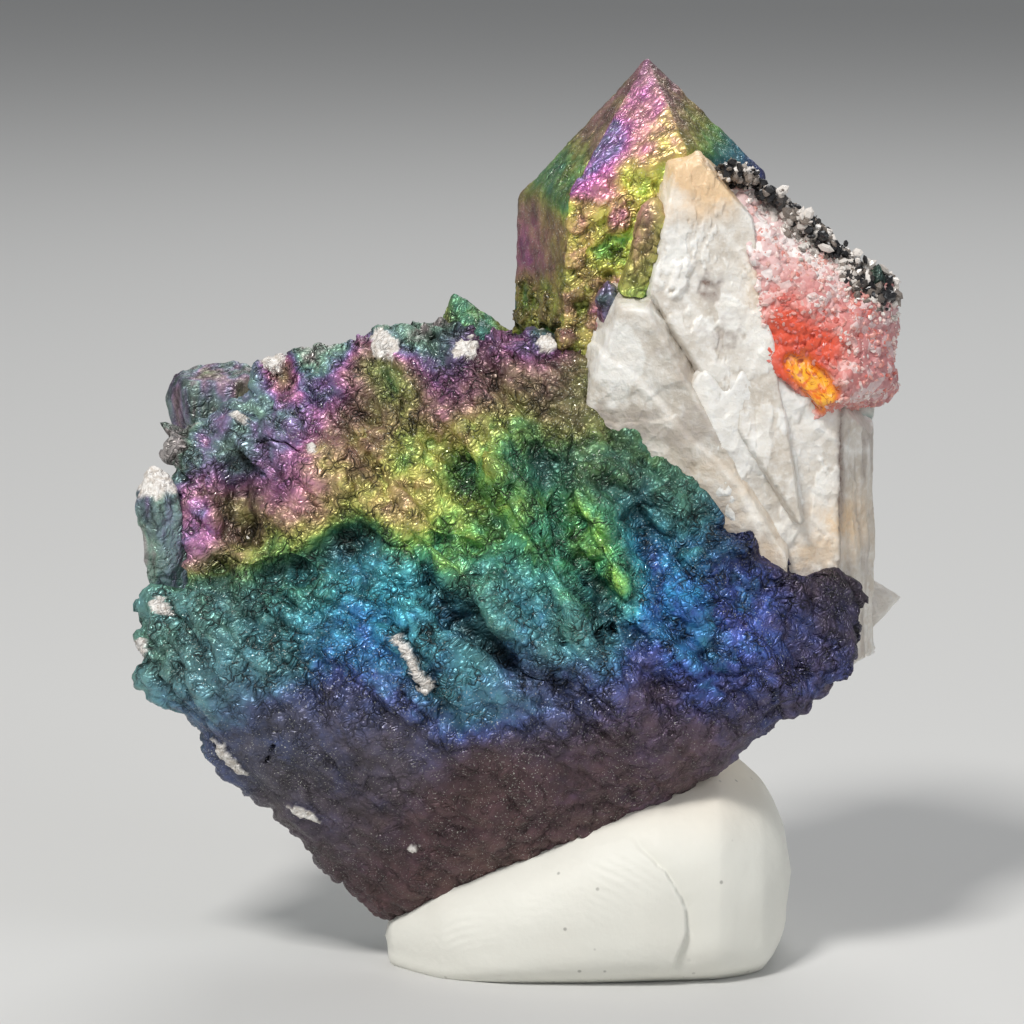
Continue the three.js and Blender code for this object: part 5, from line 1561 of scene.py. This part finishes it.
def makeCamera():
    rise = math.radians(view["elevation"])
    back = Vector((0, -math.cos(rise), math.sin(rise)))
    data = bpy.data.cameras.new("camera")
    data.lens = view["lens"]
    data.sensor_width = view["sensor"]
    data.clip_start, data.clip_end = view["clip"]
    camera = bpy.data.objects.new("camera", data)
    bpy.context.scene.collection.objects.link(camera)
    target = Vector((np.array(view["target"]) - originPlace) * mm)
    camera.location = target + back * view["distance"] * mm
    camera.rotation_euler = (-back).to_track_quat("-Z", "Y").to_euler()
    bpy.context.scene.camera = camera


studio = {
    "floorTone": (0.62, 0.62, 0.61, 1),
    "worldTone": (0.80, 0.82, 0.85, 1),
    "worldStrength": 0.27,
    "floorReach": 3.0,
    "floorRough": 0.7,
    "aim": (0, 0, 0.025),
    # lights: place, size, power, colour, all in metres and watts
    "lights": [
        ((-0.12, -0.20, 0.34), 0.08, 1.25, (1.0, 0.98, 0.95)),
        ((0.26, -0.20, 0.20), 0.16, 0.26, (0.95, 0.97, 1.0)),
        ((0.05, 0.28, 0.30), 0.20, 0.5, (1.0, 1.0, 1.0)),
    ],
}


def makeStudio():
    # even pale world, three soft lights and a plain floor
    scene = bpy.context.scene
    scene.view_settings.view_transform = "Standard"
    world = bpy.data.worlds.new("studio")
    world.use_nodes = True
    background = world.node_tree.nodes["Background"]
    background.inputs[0].default_value = studio["worldTone"]
    background.inputs[1].default_value = studio["worldStrength"]
    scene.world = world
    for k, (place, size, power, colour) in enumerate(studio["lights"]):
        data = bpy.data.lights.new(f"soft_light_{k}", "AREA")
        data.size = size
        data.energy = power
        data.color = colour
        light = bpy.data.objects.new(f"soft_light_{k}", data)
        light.location = place
        light.rotation_euler = (Vector(studio["aim"]) - Vector(place)).to_track_quat("-Z", "Y").to_euler()
        scene.collection.objects.link(light)
    reach = studio["floorReach"]
    corners = [(-reach, -reach, 0), (reach, -reach, 0), (reach, reach, 0), (-reach, reach, 0)]
    mesh = bpy.data.meshes.new("floor")
    mesh.from_pydata(corners, [], [(0, 1, 2, 3)])
    floor = bpy.data.objects.new("floor", mesh)
    material, s = newMaterial("floor")
    s.finish(s.surface({"Base Color": studio["floorTone"], "Roughness": studio["floorRough"]}))
    mesh.materials.append(material)
    scene.collection.objects.link(floor)


makeCamera()
makeStudio()
print("studio ready")
filmed = filmMaterial("iron_film")
brokenFace = quartzMaterial("broken_quartz")
brokenBack = quartzMaterial("filmed_quartz", filmed=True)
makeCrust(filmed)
makeMainCrystal(filmed)
makeSmallCrystals(filmed)
makeBlock(brokenFace)
makeSpire(brokenFace)
makeSlab(brokenFace)
makeSidePoint(brokenFace)
makeMatrix(brokenBack)
pocketGround = makePocket(pocketMaterial("stained_pocket"))
makeDruse(grainMaterial("sugary_grains", druseLook), pocketGround)
makePutty(puttyMaterial("putty"))
